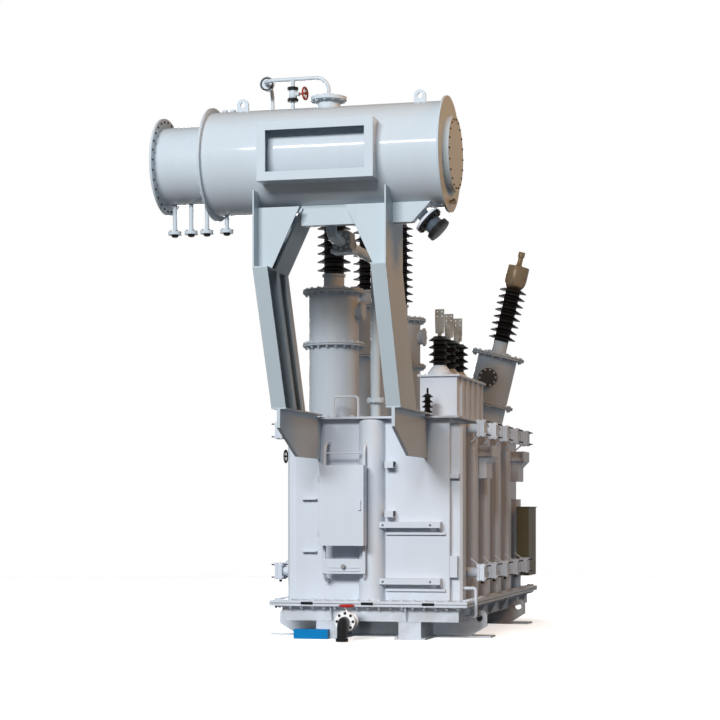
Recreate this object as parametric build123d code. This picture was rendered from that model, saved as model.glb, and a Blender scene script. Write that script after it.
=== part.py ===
from build123d import *
import math
import os

# A power transformer without its radiators, in millimetres.
# Origin: on the ground under the middle of the tank. Front is -Y, where the conservator hangs; +Z is up.

# Tank
TANK_WIDTH = 1800
TANK_LENGTH = 4600
SKID_HEIGHT = 200
TRAY_HEIGHT = 170
TRAY_OVERHANG = 130
JOINT_FLANGE_THICKNESS = 32
JOINT_FLANGE_REACH = 250
BELL_HEIGHT = 2066
COVER_THICKNESS = 25
COVER_OVERHANG = 130

# Skids
SKID_SPACING = 960
SKID_FOOT_WIDTH = 360
SKID_BOX_WIDTH = 260
SKID_PLATE = 20
SKID_OVERRUN = 190
CROSS_SKID_FRONT = 500
CROSS_SKID_REAR = 3250
CROSS_SKID_REACH = 410
CROSS_FOOT_WIDTH = 300
EYE_PLATE = 40
EYE_RADIUS = 40
EYE_OFFSET = 250
EYE_HEIGHT = 220
EYE_EDGE = 90
ANCHOR_RADIUS = 13
ANCHOR_SPACING_X = 1270
ANCHOR_SPACING_Y = 4000

# Gussets under the tray flange
TRAY_GUSSET = 14
TRAY_GUSSET_X = 435
TRAY_GUSSET_TOE = 30

# Wall stiffeners
RIB_RADIUS = 150
RIB_TOP_GAP = 8
RIB_BEVEL = 25
STIFFENER_WIDTH = 240
STIFFENER_DEPTH = 130
STIFFENER_BEVEL = 28
STIFFENER_FIRST = 200
STIFFENER_PITCH = 780
STIFFENER_COUNT = 6
STIFFENER_TOP_GAP = 60
SHORT_STIFFENER_DROP = 890

# Radiator valves
VALVE_FIRST = 560
VALVE_COUNT = 5
VALVE_LOW_RISE = 311
VALVE_HIGH_DROP = 95
VALVE_PIPE_RADIUS = 58
RIGHT_VALVE_REACH = 228
LEFT_VALVE_REACH = 310
VALVE_FLANGE = 200
VALVE_FLANGE_THICKNESS = 26
VALVE_BODY_INSET = 8
VALVE_BODY_LENGTH = 34
VALVE_BOLT_SPACING = 150
VALVE_BOLT_RADIUS = 9
LEVER_RADIUS = 9
LEVER_OFFSET = 75
LEVER_REACH = 95
LEVER_RISE = 85

# Lifting bollards
BOLLARD_BAYS = (1, 4)
BOLLARD_DROP = 400
BOLLARD_HALF = 200
BOLLARD_REACH = 290
BOLLARD_FOOT_REACH = 215
BOLLARD_RISE = 130
BOLLARD_FALL = 260
BOLLARD_STEP = 80
BOLLARD_EDGE = 30
BOLLARD_UPRIGHT = 60
BOLLARD_LIP = 45

# Control cabinet on the front wall
CABINET_LEFT = -530
CABINET_WIDTH = 520
CABINET_BOTTOM = 1060
CABINET_HEIGHT = 910
CABINET_DEPTH = 120
CABINET_SHEET = 5
DOOR_GAP = 5
DOOR_THICKNESS = 25
HINGE_OFFSET = 17
HINGE_PIN_RADIUS = 6
HINGE_KNUCKLE_RADIUS = 11
HINGE_RUNNING_GAP = 0.05
HINGE_LUG = 15
HINGE_LUG_REACH = 45
HINGE_PIN_HEIGHT = 60
HINGE_INSET = 120
LATCH_SIZE = (30, 18, 110)
TUBE_RADIUS = 20
TUBE_STANDOFF = 200
TUBE_BEND = 130
TUBE_TOP = 2230
TUBE_BOTTOM = 660
TUBE_RIGHT_INSET = 35
TUBE_LEFT_INSET = 20
CROSS_ROD_RADIUS = 9
CROSS_ROD_HEIGHT = 2110
LOWER_PLATE = (740, 910)
LOWER_PLATE_THICKNESS = 8

# Brackets on the front wall
SHELF_X = (165, 815)
SHELF_LIP_LEFT = 112
SHELF_REACH = 120
SHELF_LIP = 70
SHELF_SHEET = 10
SHELF_HEIGHTS = (1330, 690)
SHELF_HOLE_RADIUS = 12
SHELF_HOLES_X = (152, 700)
CLIP_X = (175, 275)
CLIP_REACH = 130
CLIP_SIZE = 76
CLIP_WALL = 8
CLIP_HEIGHTS = (1940, 1380)
RUNG_X = (-820, -650)
RUNG_REACH = 60
RUNG_THICKNESS = 14
RUNG_HEIGHTS = (1580, 980)

# High voltage turrets and bushings
HV_X = -610
HV_PLACES = {"front": 600, "middle": 2300, "rear": 4000}
TURRET_RADIUS = 295
TURRET_FLANGE_RADIUS = 370
TURRET_FLANGE = 20
TURRET_LOWER = 840
TURRET_UPPER = 585
HAND_HOLE_RADIUS = 100
HAND_HOLE_COVER_RADIUS = 122
HAND_HOLE_COVER = 20
HAND_HOLE_REACH = 50
HAND_HOLE_DROP = 250
COLLAR_FLANGE_RADIUS = 190
COLLAR_FLANGE = 28
COLLAR_LIP = 16
COLLAR_RADIUS = 122
COLLAR_HEIGHT = 190
HV_CORE_RADIUS = 118
HV_SHED_RADIUS = 195
HV_SHED_PITCH = 98
HV_SHED_COUNT = 11
SHED_LIP = 9
SHED_FOOT_SHARE = 0.30
SHED_LIP_SHARE = 0.42
SHED_TOP_SHARE = 0.92
HV_CAP_RADIUS = 110
HV_CAP_HEIGHT = 95
HV_STUD_RADIUS = 20
HV_STUD_LENGTH = 170

# Inclined neutral turret and bushing
NEUTRAL_BASE = (590, 4030)
NEUTRAL_RISE = 365
NEUTRAL_TILT = 13.5
NEUTRAL_RADIUS = 270
NEUTRAL_FLANGE_RADIUS = 360
NEUTRAL_LENGTH = 677
NEUTRAL_COVER_RADIUS = 125
NEUTRAL_COVER_REACH = 45
NEUTRAL_COLLAR_RADIUS = 100
NEUTRAL_COLLAR_HEIGHT = 175
NEUTRAL_CORE_RADIUS = 100
NEUTRAL_SHED_RADIUS = 185
NEUTRAL_SHED_PITCH = 91
NEUTRAL_SHED_COUNT = 8
NEUTRAL_CAP_RADIUS = 150
NEUTRAL_CAP_HEIGHT = 300
NEUTRAL_CAP_SHOULDER = 240
NEUTRAL_ROD_RADIUS = 40
NEUTRAL_ROD_LENGTH = 190

# Low voltage box and bushings
LV_BOX_X = (440, 872)
LV_BOX_Y = (570, 2230)
LV_BOX_HEIGHT = 510
LV_BOX_LIP = 32
LV_LIP_SHEET = 20
LV_RIB_COUNT = 5
LV_RIB = 12
LV_BUSHING_X = 620
LV_BUSHING_FIRST = 800
LV_BUSHING_PITCH = 550
LV_BUSHING_COUNT = 3
LV_DOME_RADIUS = 140
LV_DOME_HEIGHT = 125
LV_CORE_RADIUS = 75
LV_SHED_RADIUS = 127
LV_SHED_PITCH = 85
LV_SHED_COUNT = 4
LV_STUD_RADIUS = 24
LV_STUD_LENGTH = 110
LV_FLAG = (105, 30, 210)
LV_FLAG_HOLE_RADIUS = 8
LV_FLAG_HOLE_SPACING = 55
EARTH_BUSHING = (575, 330)
EARTH_BASE_RADIUS = 70
EARTH_CORE_RADIUS = 32
EARTH_SHED_RADIUS = 62
EARTH_SHED_PITCH = 60
EARTH_SHED_COUNT = 4
EARTH_STUD_RADIUS = 12
EARTH_STUD_LENGTH = 70

# Conservator, a lying drum in front of the tank
DRUM_AHEAD = 1800
DRUM_HEIGHT = 5133
DRUM_RADIUS = 545
DRUM_LEFT = -1284
DRUM_RIGHT = 1264
DRUM_SHEET = 8
DRUM_RIM_RADIUS = 595
DRUM_END = 22
MANHOLE_RADIUS = 390
MANHOLE_THICKNESS = 65
TAP_DRUM_RADIUS = 410
TAP_DRUM_LENGTH = 555
TAP_FLANGE_RADIUS = 511
TAP_FLANGE = 24
LUG_X = (-970, 950)
LUG_WIDTH = 127
LUG_RISE = 140
LUG_PLATE = 22
LUG_HOLE_RADIUS = 28
DROP_PIPE_X = (-1733, -1549, -1372)
DROP_PIPE_LENGTH = 283
DROP_PIPE_RADIUS = 24
DROP_FLANGE_RADIUS = 72
DROP_FLANGE = 36
MAIN_DROP_X = -1150
NOZZLE_X = -30
NOZZLE_RADIUS = 120
NOZZLE_RISE = 70
NOZZLE_FLANGE_RADIUS = 192
NOZZLE_FLANGE = 36
BREATHER_RADIUS = 21
BREATHER_RISE = 322
BREATHER_LEFT = -750
BREATHER_BACK = 360
BREATHER_BEND = 140
BREATHER_RING_RADIUS = 80
BREATHER_RING = 24
BYPASS_X = -420
BYPASS_BODY_RADIUS = 52
BYPASS_BODY_HEIGHT = 130
BYPASS_WHEEL_RADIUS = 62
BYPASS_WHEEL_RIM = 9
BYPASS_STEM = 90
BYPASS_TURN = 40
BYPASS_SPOKES = 3

# Bare sign-board frame on the conservator
SIGN_DROP = 9
SIGN_WIDTH = 1224
SIGN_HEIGHT = 607
SIGN_BORDER = 92
SIGN_SHEET = 14
SIGN_GAP = 135

# Oil level gauge under the right end of the conservator
GAUGE_SEAT = (908, -20)
GAUGE_LEAN = (0.72, 0, -0.69)
GAUGE_NECK_RADIUS = 62
GAUGE_NECK = 165
GAUGE_FLANGE_RADIUS = 152
GAUGE_FLANGE = 48
GAUGE_BODY_RADIUS = 95
GAUGE_BODY = 95
GAUGE_DIAL_RADIUS = 130
GAUGE_DIAL = 50

# Conservator support
BEAM_X = (-270, 1120)
BEAM_DROP = 713
BEAM_HEIGHT = 220
BEAM_SLOPE = 210
BEAM_AHEAD = 1950
BEAM_THICKNESS = 110
LEG_X = 707
LEG_WIDTH = 160
LEG_SHEET = 16
LEG_DEPTH = 775
LEG_FOOT_AHEAD = 1637
LEG_FOOT_RISE = 29
LEG_HEAD_AHEAD = 2310
LEG_HEAD_DROP = 1174
LEG_STRIPS = ((350, 75), (650, 125))
BRACKET_INNER_TOP = 246
BRACKET_FRONT_DROP = 533
BRACKET_WEB_DROP = 373
BRACKET_SETBACK = 150
BRACKET_GAP = 130
BRACKET_SLOPE_SHEET = 24
GUSSET_DROP = 475
GUSSET_NOSE = 200
GUSSET_HEEL = 946
GUSSET_SHEET = 36
GUSSET_FLANGE = 16
GUSSET_COVER_GAP = 10

# Oil riser and gas relay between tank cover and conservator
RISER = (-20, 250)
RISER_RADIUS = 56
RISER_FLANGE_RADIUS = 105
RISER_FLANGE = 24
RISER_FLANGE_HEIGHT = 175
RISER_DROP = 793
RISER_BEND = 130
RELAY_AHEAD = 1200
RELAY_LENGTH = 260
RELAY_WIDTH = 190
RELAY_HEIGHT = 220
RELAY_FLANGE_RADIUS = 105
RELAY_FLANGE = 22
RELAY_BASE_WIDTH = 240
RELAY_CAP_RADIUS = 63
FEED_AHEAD = 1730

# Drain valve in front of the tray
DRAIN_X = -165
DRAIN_HEIGHT = 222
DRAIN_PIPE_RADIUS = 45
DRAIN_FLANGE_RADIUS = 115
DRAIN_FLANGE = 24
DRAIN_BODY_AHEAD = 520
DRAIN_BODY_RADIUS = 72
DRAIN_BODY_LENGTH = 120
DRAIN_STEM_RADIUS = 13
DRAIN_STEM = 85
DRAIN_WHEEL_RADIUS = 75
DRAIN_WHEEL_RIM = 14
SPOUT_RADIUS = 55
SPOUT_REACH = 130
SPOUT_BEND = 70
SPOUT_CLEARANCE = 8
SPOUT_CAP_RADIUS = 70
SPOUT_CAP = 36

# Other pieces
REAR_CABINET_Y = (3830, 4450)
REAR_CABINET_Z = (600, 1500)
REAR_CABINET_DEPTH = 165
REAR_CABINET_ROOF = 12
HOOP_X = (-475, -180)
HOOP_Y = 60
HOOP_HEIGHT = 240
HOOP_RADIUS = 14
HOOP_BEND = 40
CHOCK = (400, 100, 110)
CHOCK_X = -850

# Levels and faces worked out from the driving dimensions
FRONT = -TANK_LENGTH / 2
SIDE = TANK_WIDTH / 2
TRAY_TOP = SKID_HEIGHT + TRAY_HEIGHT
JOINT_TOP = TRAY_TOP + 2 * JOINT_FLANGE_THICKNESS
BELL_TOP = JOINT_TOP + BELL_HEIGHT
COVER_TOP = BELL_TOP + COVER_THICKNESS
TRAY_FRONT = FRONT - TRAY_OVERHANG
TRAY_SIDE = SIDE + TRAY_OVERHANG
SKID_X = SKID_SPACING / 2
VALVE_LOW = JOINT_TOP + VALVE_LOW_RISE
VALVE_HIGH = BELL_TOP - VALVE_HIGH_DROP
DRUM_Y = FRONT - DRUM_AHEAD
BREATHER_TOP = DRUM_HEIGHT + DRUM_RADIUS + BREATHER_RISE
DROP_PIPE_END = DRUM_HEIGHT - TAP_DRUM_RADIUS - DROP_PIPE_LENGTH
BEAM_BOTTOM = DRUM_HEIGHT - BEAM_DROP
BEAM_TOP = BEAM_BOTTOM + BEAM_HEIGHT
LEG_FOOT_Z = COVER_TOP + LEG_FOOT_RISE
LEG_HEAD_Z = DRUM_HEIGHT - LEG_HEAD_DROP
BRACKET_FRONT_TOP = DRUM_HEIGHT - BRACKET_FRONT_DROP
BRACKET_WEB_TOP = DRUM_HEIGHT - BRACKET_WEB_DROP
GUSSET_BOTTOM = COVER_TOP - GUSSET_DROP
RISER_TOP = DRUM_HEIGHT - RISER_DROP


def block(x, y, z):
    """Box between three pairs of low and high values."""
    size = [high - low for low, high in (x, y, z)]
    centre = [(low + high) / 2 for low, high in (x, y, z)]
    return Pos(*centre) * Box(*size)


def rod(start, end, radius):
    """Round bar between two points."""
    axis = Vector(*end) - Vector(*start)
    return Solid.make_cylinder(radius, axis.length, Plane(origin=start, z_dir=axis))


def slab_yz(points, x):
    """Plate with an outline in Y and Z, between two X values."""
    plane = Plane(origin=(x[0], 0, 0), x_dir=(0, 1, 0), z_dir=(1, 0, 0))
    return extrude(plane * make_face(Polyline(*points, close=True)), x[1] - x[0])


def slab_xz(points, y):
    """Plate with an outline in X and Z, between two Y values."""
    plane = Plane(origin=(0, y[1], 0), x_dir=(1, 0, 0), z_dir=(0, -1, 0))
    return extrude(plane * make_face(Polyline(*points, close=True)), y[1] - y[0])


def slab_xy(points, z):
    """Plate with an outline in X and Y, between two Z values."""
    face = Plane.XY.offset(z[0]) * make_face(Polyline(*points, close=True))
    return extrude(face, z[1] - z[0])


def turned(profile):
    """Solid of revolution about Z from (radius, height) points."""
    return revolve(Plane.XZ * make_face(Polyline(*profile, close=True)), Axis.Z)


def bent_pipe(points, radius, bend):
    """Round pipe along straight runs with equal bends."""
    path = FilletPolyline(*points, radius=bend)
    section = Plane(origin=path @ 0, z_dir=path % 0) * Circle(radius)
    return sweep(section, path)


def mirrored(shape):
    return mirror(shape, Plane.YZ)


def sheds(core, lip, pitch, count):
    """Porcelain profile: a core with sloping sheds, one below the other."""
    profile = [(0, 0)]
    for step in range(count):
        foot = step * pitch
        profile += [
            (core, foot),
            (core, foot + SHED_FOOT_SHARE * pitch),
            (lip, foot + SHED_LIP_SHARE * pitch),
            (lip, foot + SHED_LIP_SHARE * pitch + SHED_LIP),
            (core, foot + SHED_TOP_SHARE * pitch),
        ]
    top = count * pitch
    return turned(profile + [(core, top), (0, top)])


def save(name, *shapes):
    solids = [solid for shape in shapes for solid in shape.solids()]
    whole = solids[0] if len(solids) == 1 else Compound(children=solids)
    export_step(whole, f"parts/{name}.step")


def drum_space(radius):
    """Everything inside a lying cylinder on the conservator's axis."""
    reach = 2 * (DRUM_RIGHT - DRUM_LEFT)
    return rod((-reach, DRUM_Y, DRUM_HEIGHT), (reach, DRUM_Y, DRUM_HEIGHT), radius)


def long_skid():
    """Right-hand lengthwise skid: a closed beam on a wide foot plate."""
    y = (FRONT - SKID_OVERRUN, -FRONT + SKID_OVERRUN)
    half_foot = SKID_FOOT_WIDTH / 2
    half_box = SKID_BOX_WIDTH / 2
    foot = block((SKID_X - half_foot, SKID_X + half_foot), y, (0, SKID_PLATE))
    skid = foot + block((SKID_X - half_box, SKID_X + half_box), y, (SKID_PLATE, SKID_HEIGHT))
    hole_x = ANCHOR_SPACING_X / 2
    for hole_y in (-ANCHOR_SPACING_Y / 2, ANCHOR_SPACING_Y / 2):
        skid -= rod((hole_x, hole_y, 0), (hole_x, hole_y, SKID_PLATE), ANCHOR_RADIUS)
    return skid


def cross_skid(place):
    """Crosswise skid at one place: a middle piece and two outriggers with pulling eyes."""
    y = FRONT + place
    web = (y - EYE_PLATE / 2, y + EYE_PLATE / 2)
    foot = (y - CROSS_FOOT_WIDTH / 2, y + CROSS_FOOT_WIDTH / 2)
    foot_inner = SKID_X - SKID_FOOT_WIDTH / 2
    foot_outer = SKID_X + SKID_FOOT_WIDTH / 2
    box_inner = SKID_X - SKID_BOX_WIDTH / 2
    box_outer = SKID_X + SKID_BOX_WIDTH / 2
    middle = block((-foot_inner, foot_inner), foot, (0, SKID_PLATE))
    middle += block((-box_inner, box_inner), web, (SKID_PLATE, SKID_HEIGHT))
    eye_x = SIDE + EYE_OFFSET
    tip = eye_x + EYE_EDGE
    outline = [
        (box_outer, SKID_PLATE),
        (eye_x - EYE_EDGE, SKID_PLATE),
        (tip, EYE_HEIGHT - EYE_EDGE),
        (tip, EYE_HEIGHT + EYE_EDGE / 2),
        (tip - EYE_EDGE / 2, EYE_HEIGHT + EYE_EDGE),
        (TRAY_SIDE, EYE_HEIGHT + EYE_EDGE),
        (TRAY_SIDE, SKID_HEIGHT),
        (box_outer, SKID_HEIGHT),
    ]
    arm = slab_xz(outline, web)
    arm -= rod((eye_x, web[0], EYE_HEIGHT), (eye_x, web[1], EYE_HEIGHT), EYE_RADIUS)
    arm += block((foot_outer, SIDE + CROSS_SKID_REACH), foot, (0, SKID_PLATE))
    return [middle, arm, mirrored(arm)]


def side_places():
    """Y of each wall stiffener, front to rear."""
    return [FRONT + STIFFENER_FIRST + STIFFENER_PITCH * i for i in range(STIFFENER_COUNT)]


def tray_gussets():
    """Triangular ribs that hold the tray flange up from below."""
    reach = JOINT_FLANGE_REACH - TRAY_OVERHANG - TRAY_GUSSET_TOE
    toe = TRAY_TOP - TRAY_GUSSET_TOE
    heel = SKID_HEIGHT + TRAY_GUSSET
    shape = [(0, TRAY_TOP), (reach, TRAY_TOP), (reach, toe), (TRAY_GUSSET_TOE, heel), (0, heel)]
    ribs = []
    for x in (-TRAY_GUSSET_X, TRAY_GUSSET_X):
        width = (x - TRAY_GUSSET / 2, x + TRAY_GUSSET / 2)
        ribs.append(slab_yz([(TRAY_FRONT - d, z) for d, z in shape], width))
        ribs.append(slab_yz([(-TRAY_FRONT + d, z) for d, z in shape], width))
    for y in side_places():
        width = (y - TRAY_GUSSET / 2, y + TRAY_GUSSET / 2)
        rib = slab_xz([(TRAY_SIDE + d, z) for d, z in shape], width)
        ribs += [rib, mirrored(rib)]
    return ribs


def end_rib():
    """Half-round upright on the front wall with a bevelled top edge."""
    top = BELL_TOP - RIB_TOP_GAP
    bar = turned([
        (0, JOINT_TOP), (RIB_RADIUS, JOINT_TOP), (RIB_RADIUS, top - RIB_BEVEL), (RIB_RADIUS - RIB_BEVEL, top),
        (0, top),
    ])
    ahead = block((-RIB_RADIUS, RIB_RADIUS), (FRONT - RIB_RADIUS, FRONT), (JOINT_TOP, top))
    return Pos(0, FRONT, 0) * bar & ahead


def stiffeners():
    """Folded box uprights along the right-hand wall, the last one shorter."""
    half = STIFFENER_WIDTH / 2
    outer = SIDE + STIFFENER_DEPTH
    places = side_places()
    row = []
    for y in places:
        drop = SHORT_STIFFENER_DROP if y == places[-1] else STIFFENER_TOP_GAP
        section = [
            (SIDE, y - half),
            (outer - STIFFENER_BEVEL, y - half),
            (outer, y - half + STIFFENER_BEVEL),
            (outer, y + half - STIFFENER_BEVEL),
            (outer - STIFFENER_BEVEL, y + half),
            (SIDE, y + half),
        ]
        row.append(slab_xy(section, (JOINT_TOP, BELL_TOP - drop)))
    return row


def valve_places():
    """(y, z) of each radiator valve on one side."""
    rows = (VALVE_LOW, VALVE_HIGH)
    return [(FRONT + VALVE_FIRST + STIFFENER_PITCH * i, z) for z in rows for i in range(VALVE_COUNT)]


def radiator_valve(y, z, reach):
    """Butterfly valve on a wall stub: a square body between two square flanges."""
    inner = SIDE + reach
    body = inner + VALVE_FLANGE_THICKNESS
    outer = body + VALVE_BODY_LENGTH
    face = outer + VALVE_FLANGE_THICKNESS
    half = VALVE_FLANGE / 2

    def square(x, size):
        return block(x, (y - size, y + size), (z - size, z + size))

    valve = rod((SIDE, y, z), (body, y, z), VALVE_PIPE_RADIUS)
    valve += square((inner, body), half)
    valve += square((body, outer), half - VALVE_BODY_INSET)
    valve += square((outer, face), half)
    step = VALVE_BOLT_SPACING / 2
    for bolt_y in (y - step, y + step):
        for bolt_z in (z - step, z + step):
            valve -= rod((inner, bolt_y, bolt_z), (face, bolt_y, bolt_z), VALVE_BOLT_RADIUS)
    return valve


def valve_lever(y, z, reach):
    """Straight lever from the inner flange back to the wall: up on low valves, down on high ones."""
    way = 1 if z == VALVE_LOW else -1
    inner = SIDE + reach
    foot = z + way * LEVER_OFFSET
    tip = (inner - LEVER_REACH, y, foot + way * LEVER_RISE)
    lever = rod((inner + LEVER_RADIUS, y, foot), tip, LEVER_RADIUS)
    half = VALVE_FLANGE / 2
    return lever - block((inner, inner + VALVE_FLANGE_THICKNESS), (y - half, y + half), (z - half, z + half))


def bollard(y):
    """Lifting bollard on the right-hand wall: a box bracket whose lip and uprights stand out at its ends."""
    z = BELL_TOP - BOLLARD_DROP
    foot = SIDE + BOLLARD_FOOT_REACH
    tip = SIDE + BOLLARD_REACH
    low = z - BOLLARD_FALL
    top = z + BOLLARD_RISE
    outline = [(SIDE, low), (foot, low), (foot, z - BOLLARD_STEP), (tip, z), (tip, top), (SIDE, top)]
    box = slab_xz(outline, (y - BOLLARD_HALF, y + BOLLARD_HALF))
    ends = (y - BOLLARD_HALF - BOLLARD_EDGE, y + BOLLARD_HALF + BOLLARD_EDGE)
    box += block((SIDE, tip), ends, (z, z + BOLLARD_LIP))
    box += block((SIDE, SIDE + BOLLARD_UPRIGHT), ends, (low, top))
    return box + block((tip - BOLLARD_EDGE, tip), ends, (z, top))


CABINET_X = (CABINET_LEFT, CABINET_LEFT + CABINET_WIDTH)
CABINET_Z = (CABINET_BOTTOM, CABINET_BOTTOM + CABINET_HEIGHT)
CABINET_BACK = FRONT - TUBE_STANDOFF - TUBE_RADIUS
CABINET_MOUTH = CABINET_BACK - CABINET_DEPTH
DOOR_BACK = CABINET_MOUTH - DOOR_GAP
DOOR_FACE = DOOR_BACK - DOOR_THICKNESS
HINGE_X = CABINET_LEFT - HINGE_OFFSET + DOOR_GAP
HINGE_Y = (DOOR_BACK + DOOR_FACE) / 2
HINGE_LEVELS = (CABINET_Z[0] + HINGE_INSET, CABINET_Z[1] - HINGE_INSET - HINGE_PIN_HEIGHT)


def cabinet_body():
    """Sheet-metal cabinet, open in front, with two hinge pins on its left wall."""
    t = CABINET_SHEET
    y = (CABINET_MOUTH, CABINET_BACK)
    body = block(CABINET_X, y, CABINET_Z)
    body -= block(
        (CABINET_X[0] + t, CABINET_X[1] - t),
        (CABINET_MOUTH, CABINET_BACK - t),
        (CABINET_Z[0] + t, CABINET_Z[1] - t),
    )
    for z in HINGE_LEVELS:
        lug_x = (HINGE_X - HINGE_KNUCKLE_RADIUS, CABINET_LEFT)
        lug_y = (HINGE_Y - HINGE_KNUCKLE_RADIUS, CABINET_MOUTH + HINGE_LUG_REACH)
        body += block(lug_x, lug_y, (z - HINGE_LUG, z))
        body += rod((HINGE_X, HINGE_Y, z), (HINGE_X, HINGE_Y, z + HINGE_PIN_HEIGHT), HINGE_PIN_RADIUS)
    return body


def cabinet_door():
    """Door panel with knuckles round the hinge pins and a latch plate at its free edge."""
    door_x = (CABINET_LEFT + DOOR_GAP, CABINET_X[1])
    door = block(door_x, (DOOR_FACE, DOOR_BACK), CABINET_Z)
    for z in HINGE_LEVELS:
        low = z + HINGE_RUNNING_GAP
        high = z + HINGE_PIN_HEIGHT - HINGE_LUG
        knuckle = rod((HINGE_X, HINGE_Y, low), (HINGE_X, HINGE_Y, high), HINGE_KNUCKLE_RADIUS)
        leaf_y = (HINGE_Y - HINGE_PIN_RADIUS, HINGE_Y + HINGE_PIN_RADIUS)
        leaf = block((HINGE_X, door_x[0]), leaf_y, (low, high))
        door += knuckle + leaf
        bore = HINGE_PIN_RADIUS + HINGE_RUNNING_GAP
        door -= rod((HINGE_X, HINGE_Y, low), (HINGE_X, HINGE_Y, high), bore)
    width, depth, height = LATCH_SIZE
    middle = CABINET_BOTTOM + CABINET_HEIGHT / 2
    latch_x = (door_x[1] - 2 * width, door_x[1] - width)
    latch = block(latch_x, (DOOR_FACE - depth, DOOR_FACE), (middle - height / 2, middle + height / 2))
    return door + latch


def tube_frame():
    """Two bent tubes that carry the cabinet, with a rod above it and a plate below."""
    y = FRONT - TUBE_STANDOFF
    left = CABINET_X[0] + TUBE_LEFT_INSET
    right = CABINET_X[1] - TUBE_RIGHT_INSET
    tubes = []
    for x in (left, right):
        points = [(x, FRONT, TUBE_TOP), (x, y, TUBE_TOP), (x, y, TUBE_BOTTOM), (x, FRONT, TUBE_BOTTOM)]
        tubes.append(bent_pipe(points, TUBE_RADIUS, TUBE_BEND))
    frame = tubes[0] + tubes[1]
    frame += rod((left, y, CROSS_ROD_HEIGHT), (right, y, CROSS_ROD_HEIGHT), CROSS_ROD_RADIUS)
    plate_y = (y - TUBE_RADIUS - LOWER_PLATE_THICKNESS, y - TUBE_RADIUS / 2)
    frame += block((left - TUBE_RADIUS, right + TUBE_RADIUS), plate_y, LOWER_PLATE)
    return frame - end_rib()


def shelf(z):
    """Angle shelf under a missing drive box: top leg, front lip with two holes and end ribs."""
    front = FRONT - SHELF_REACH
    lip = z - SHELF_LIP
    angle = block(SHELF_X, (front, FRONT), (z - SHELF_SHEET, z))
    angle += block((SHELF_LIP_LEFT, SHELF_X[1]), (front, front + SHELF_SHEET), (lip, z))
    for x in SHELF_X:
        inner = x + SHELF_SHEET if x == SHELF_X[0] else x - SHELF_SHEET
        side = [(front, z), (FRONT, z), (FRONT, z - SHELF_REACH), (front, lip)]
        angle += slab_yz(side, (min(x, inner), max(x, inner)))
    for x in SHELF_HOLES_X:
        hole_z = (lip + z - SHELF_SHEET) / 2
        angle -= rod((x, front, hole_z), (x, front + SHELF_SHEET, hole_z), SHELF_HOLE_RADIUS)
    return angle


def clip(z):
    """Short square tube that lies along the wall, open at both ends."""
    y = (FRONT - CLIP_REACH, FRONT)
    tube = block(CLIP_X, y, (z, z + CLIP_SIZE))
    inner_y = (y[0] + CLIP_WALL, y[1] - CLIP_WALL)
    return tube - block(CLIP_X, inner_y, (z + CLIP_WALL, z + CLIP_SIZE - CLIP_WALL))


def wall_brackets():
    rungs = [block(RUNG_X, (FRONT - RUNG_REACH, FRONT), (z, z + RUNG_THICKNESS)) for z in RUNG_HEIGHTS]
    return [shelf(z) for z in SHELF_HEIGHTS] + [clip(z) for z in CLIP_HEIGHTS] + rungs


# One base flange, two joint flanges and a top flange of double thickness
TURRET_TOP = COVER_TOP + 5 * TURRET_FLANGE + TURRET_LOWER + TURRET_UPPER


def hv_turret(place):
    """Upright turret: base flange, lower tube, joint flanges, upper tube, top flange, side hand hole."""
    low = COVER_TOP + TURRET_FLANGE
    joint = low + TURRET_LOWER
    top = joint + 2 * TURRET_FLANGE + TURRET_UPPER
    wide = TURRET_FLANGE_RADIUS
    tube = TURRET_RADIUS
    body = turned([
        (0, COVER_TOP), (wide, COVER_TOP), (wide, low), (tube, low), (tube, joint), (wide, joint),
        (wide, joint + 2 * TURRET_FLANGE), (tube, joint + 2 * TURRET_FLANGE), (tube, top), (wide, top),
        (wide, TURRET_TOP), (0, TURRET_TOP),
    ])
    z = TURRET_TOP - HAND_HOLE_DROP
    reach = tube + HAND_HOLE_REACH
    body += rod((0, 0, z), (reach, 0, z), HAND_HOLE_RADIUS)
    body += rod((reach, 0, z), (reach + HAND_HOLE_COVER, 0, z), HAND_HOLE_COVER_RADIUS)
    return Pos(HV_X, FRONT + place, 0) * body


def hv_bushing(place):
    """Collar, porcelain and terminal of one upright bushing."""
    at = Pos(HV_X, FRONT + place, TURRET_TOP)
    ring = COLLAR_HEIGHT - COLLAR_FLANGE
    collar = turned([
        (0, 0), (COLLAR_FLANGE_RADIUS, 0), (COLLAR_FLANGE_RADIUS, COLLAR_FLANGE),
        (COLLAR_RADIUS, COLLAR_FLANGE), (COLLAR_RADIUS, ring), (COLLAR_RADIUS + COLLAR_LIP, ring),
        (COLLAR_RADIUS + COLLAR_LIP, COLLAR_HEIGHT), (0, COLLAR_HEIGHT),
    ])
    porcelain = Pos(0, 0, COLLAR_HEIGHT) * sheds(HV_CORE_RADIUS, HV_SHED_RADIUS, HV_SHED_PITCH, HV_SHED_COUNT)
    seat = COLLAR_HEIGHT + HV_SHED_PITCH * HV_SHED_COUNT
    neck = HV_CAP_RADIUS / 2
    terminal = turned([
        (0, 0), (HV_CAP_RADIUS, 0), (HV_CAP_RADIUS, HV_CAP_HEIGHT / 2), (neck, HV_CAP_HEIGHT),
        (HV_STUD_RADIUS, HV_CAP_HEIGHT), (HV_STUD_RADIUS, HV_CAP_HEIGHT + HV_STUD_LENGTH),
        (0, HV_CAP_HEIGHT + HV_STUD_LENGTH),
    ])
    return at * collar, at * porcelain, at * Pos(0, 0, seat) * terminal


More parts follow.
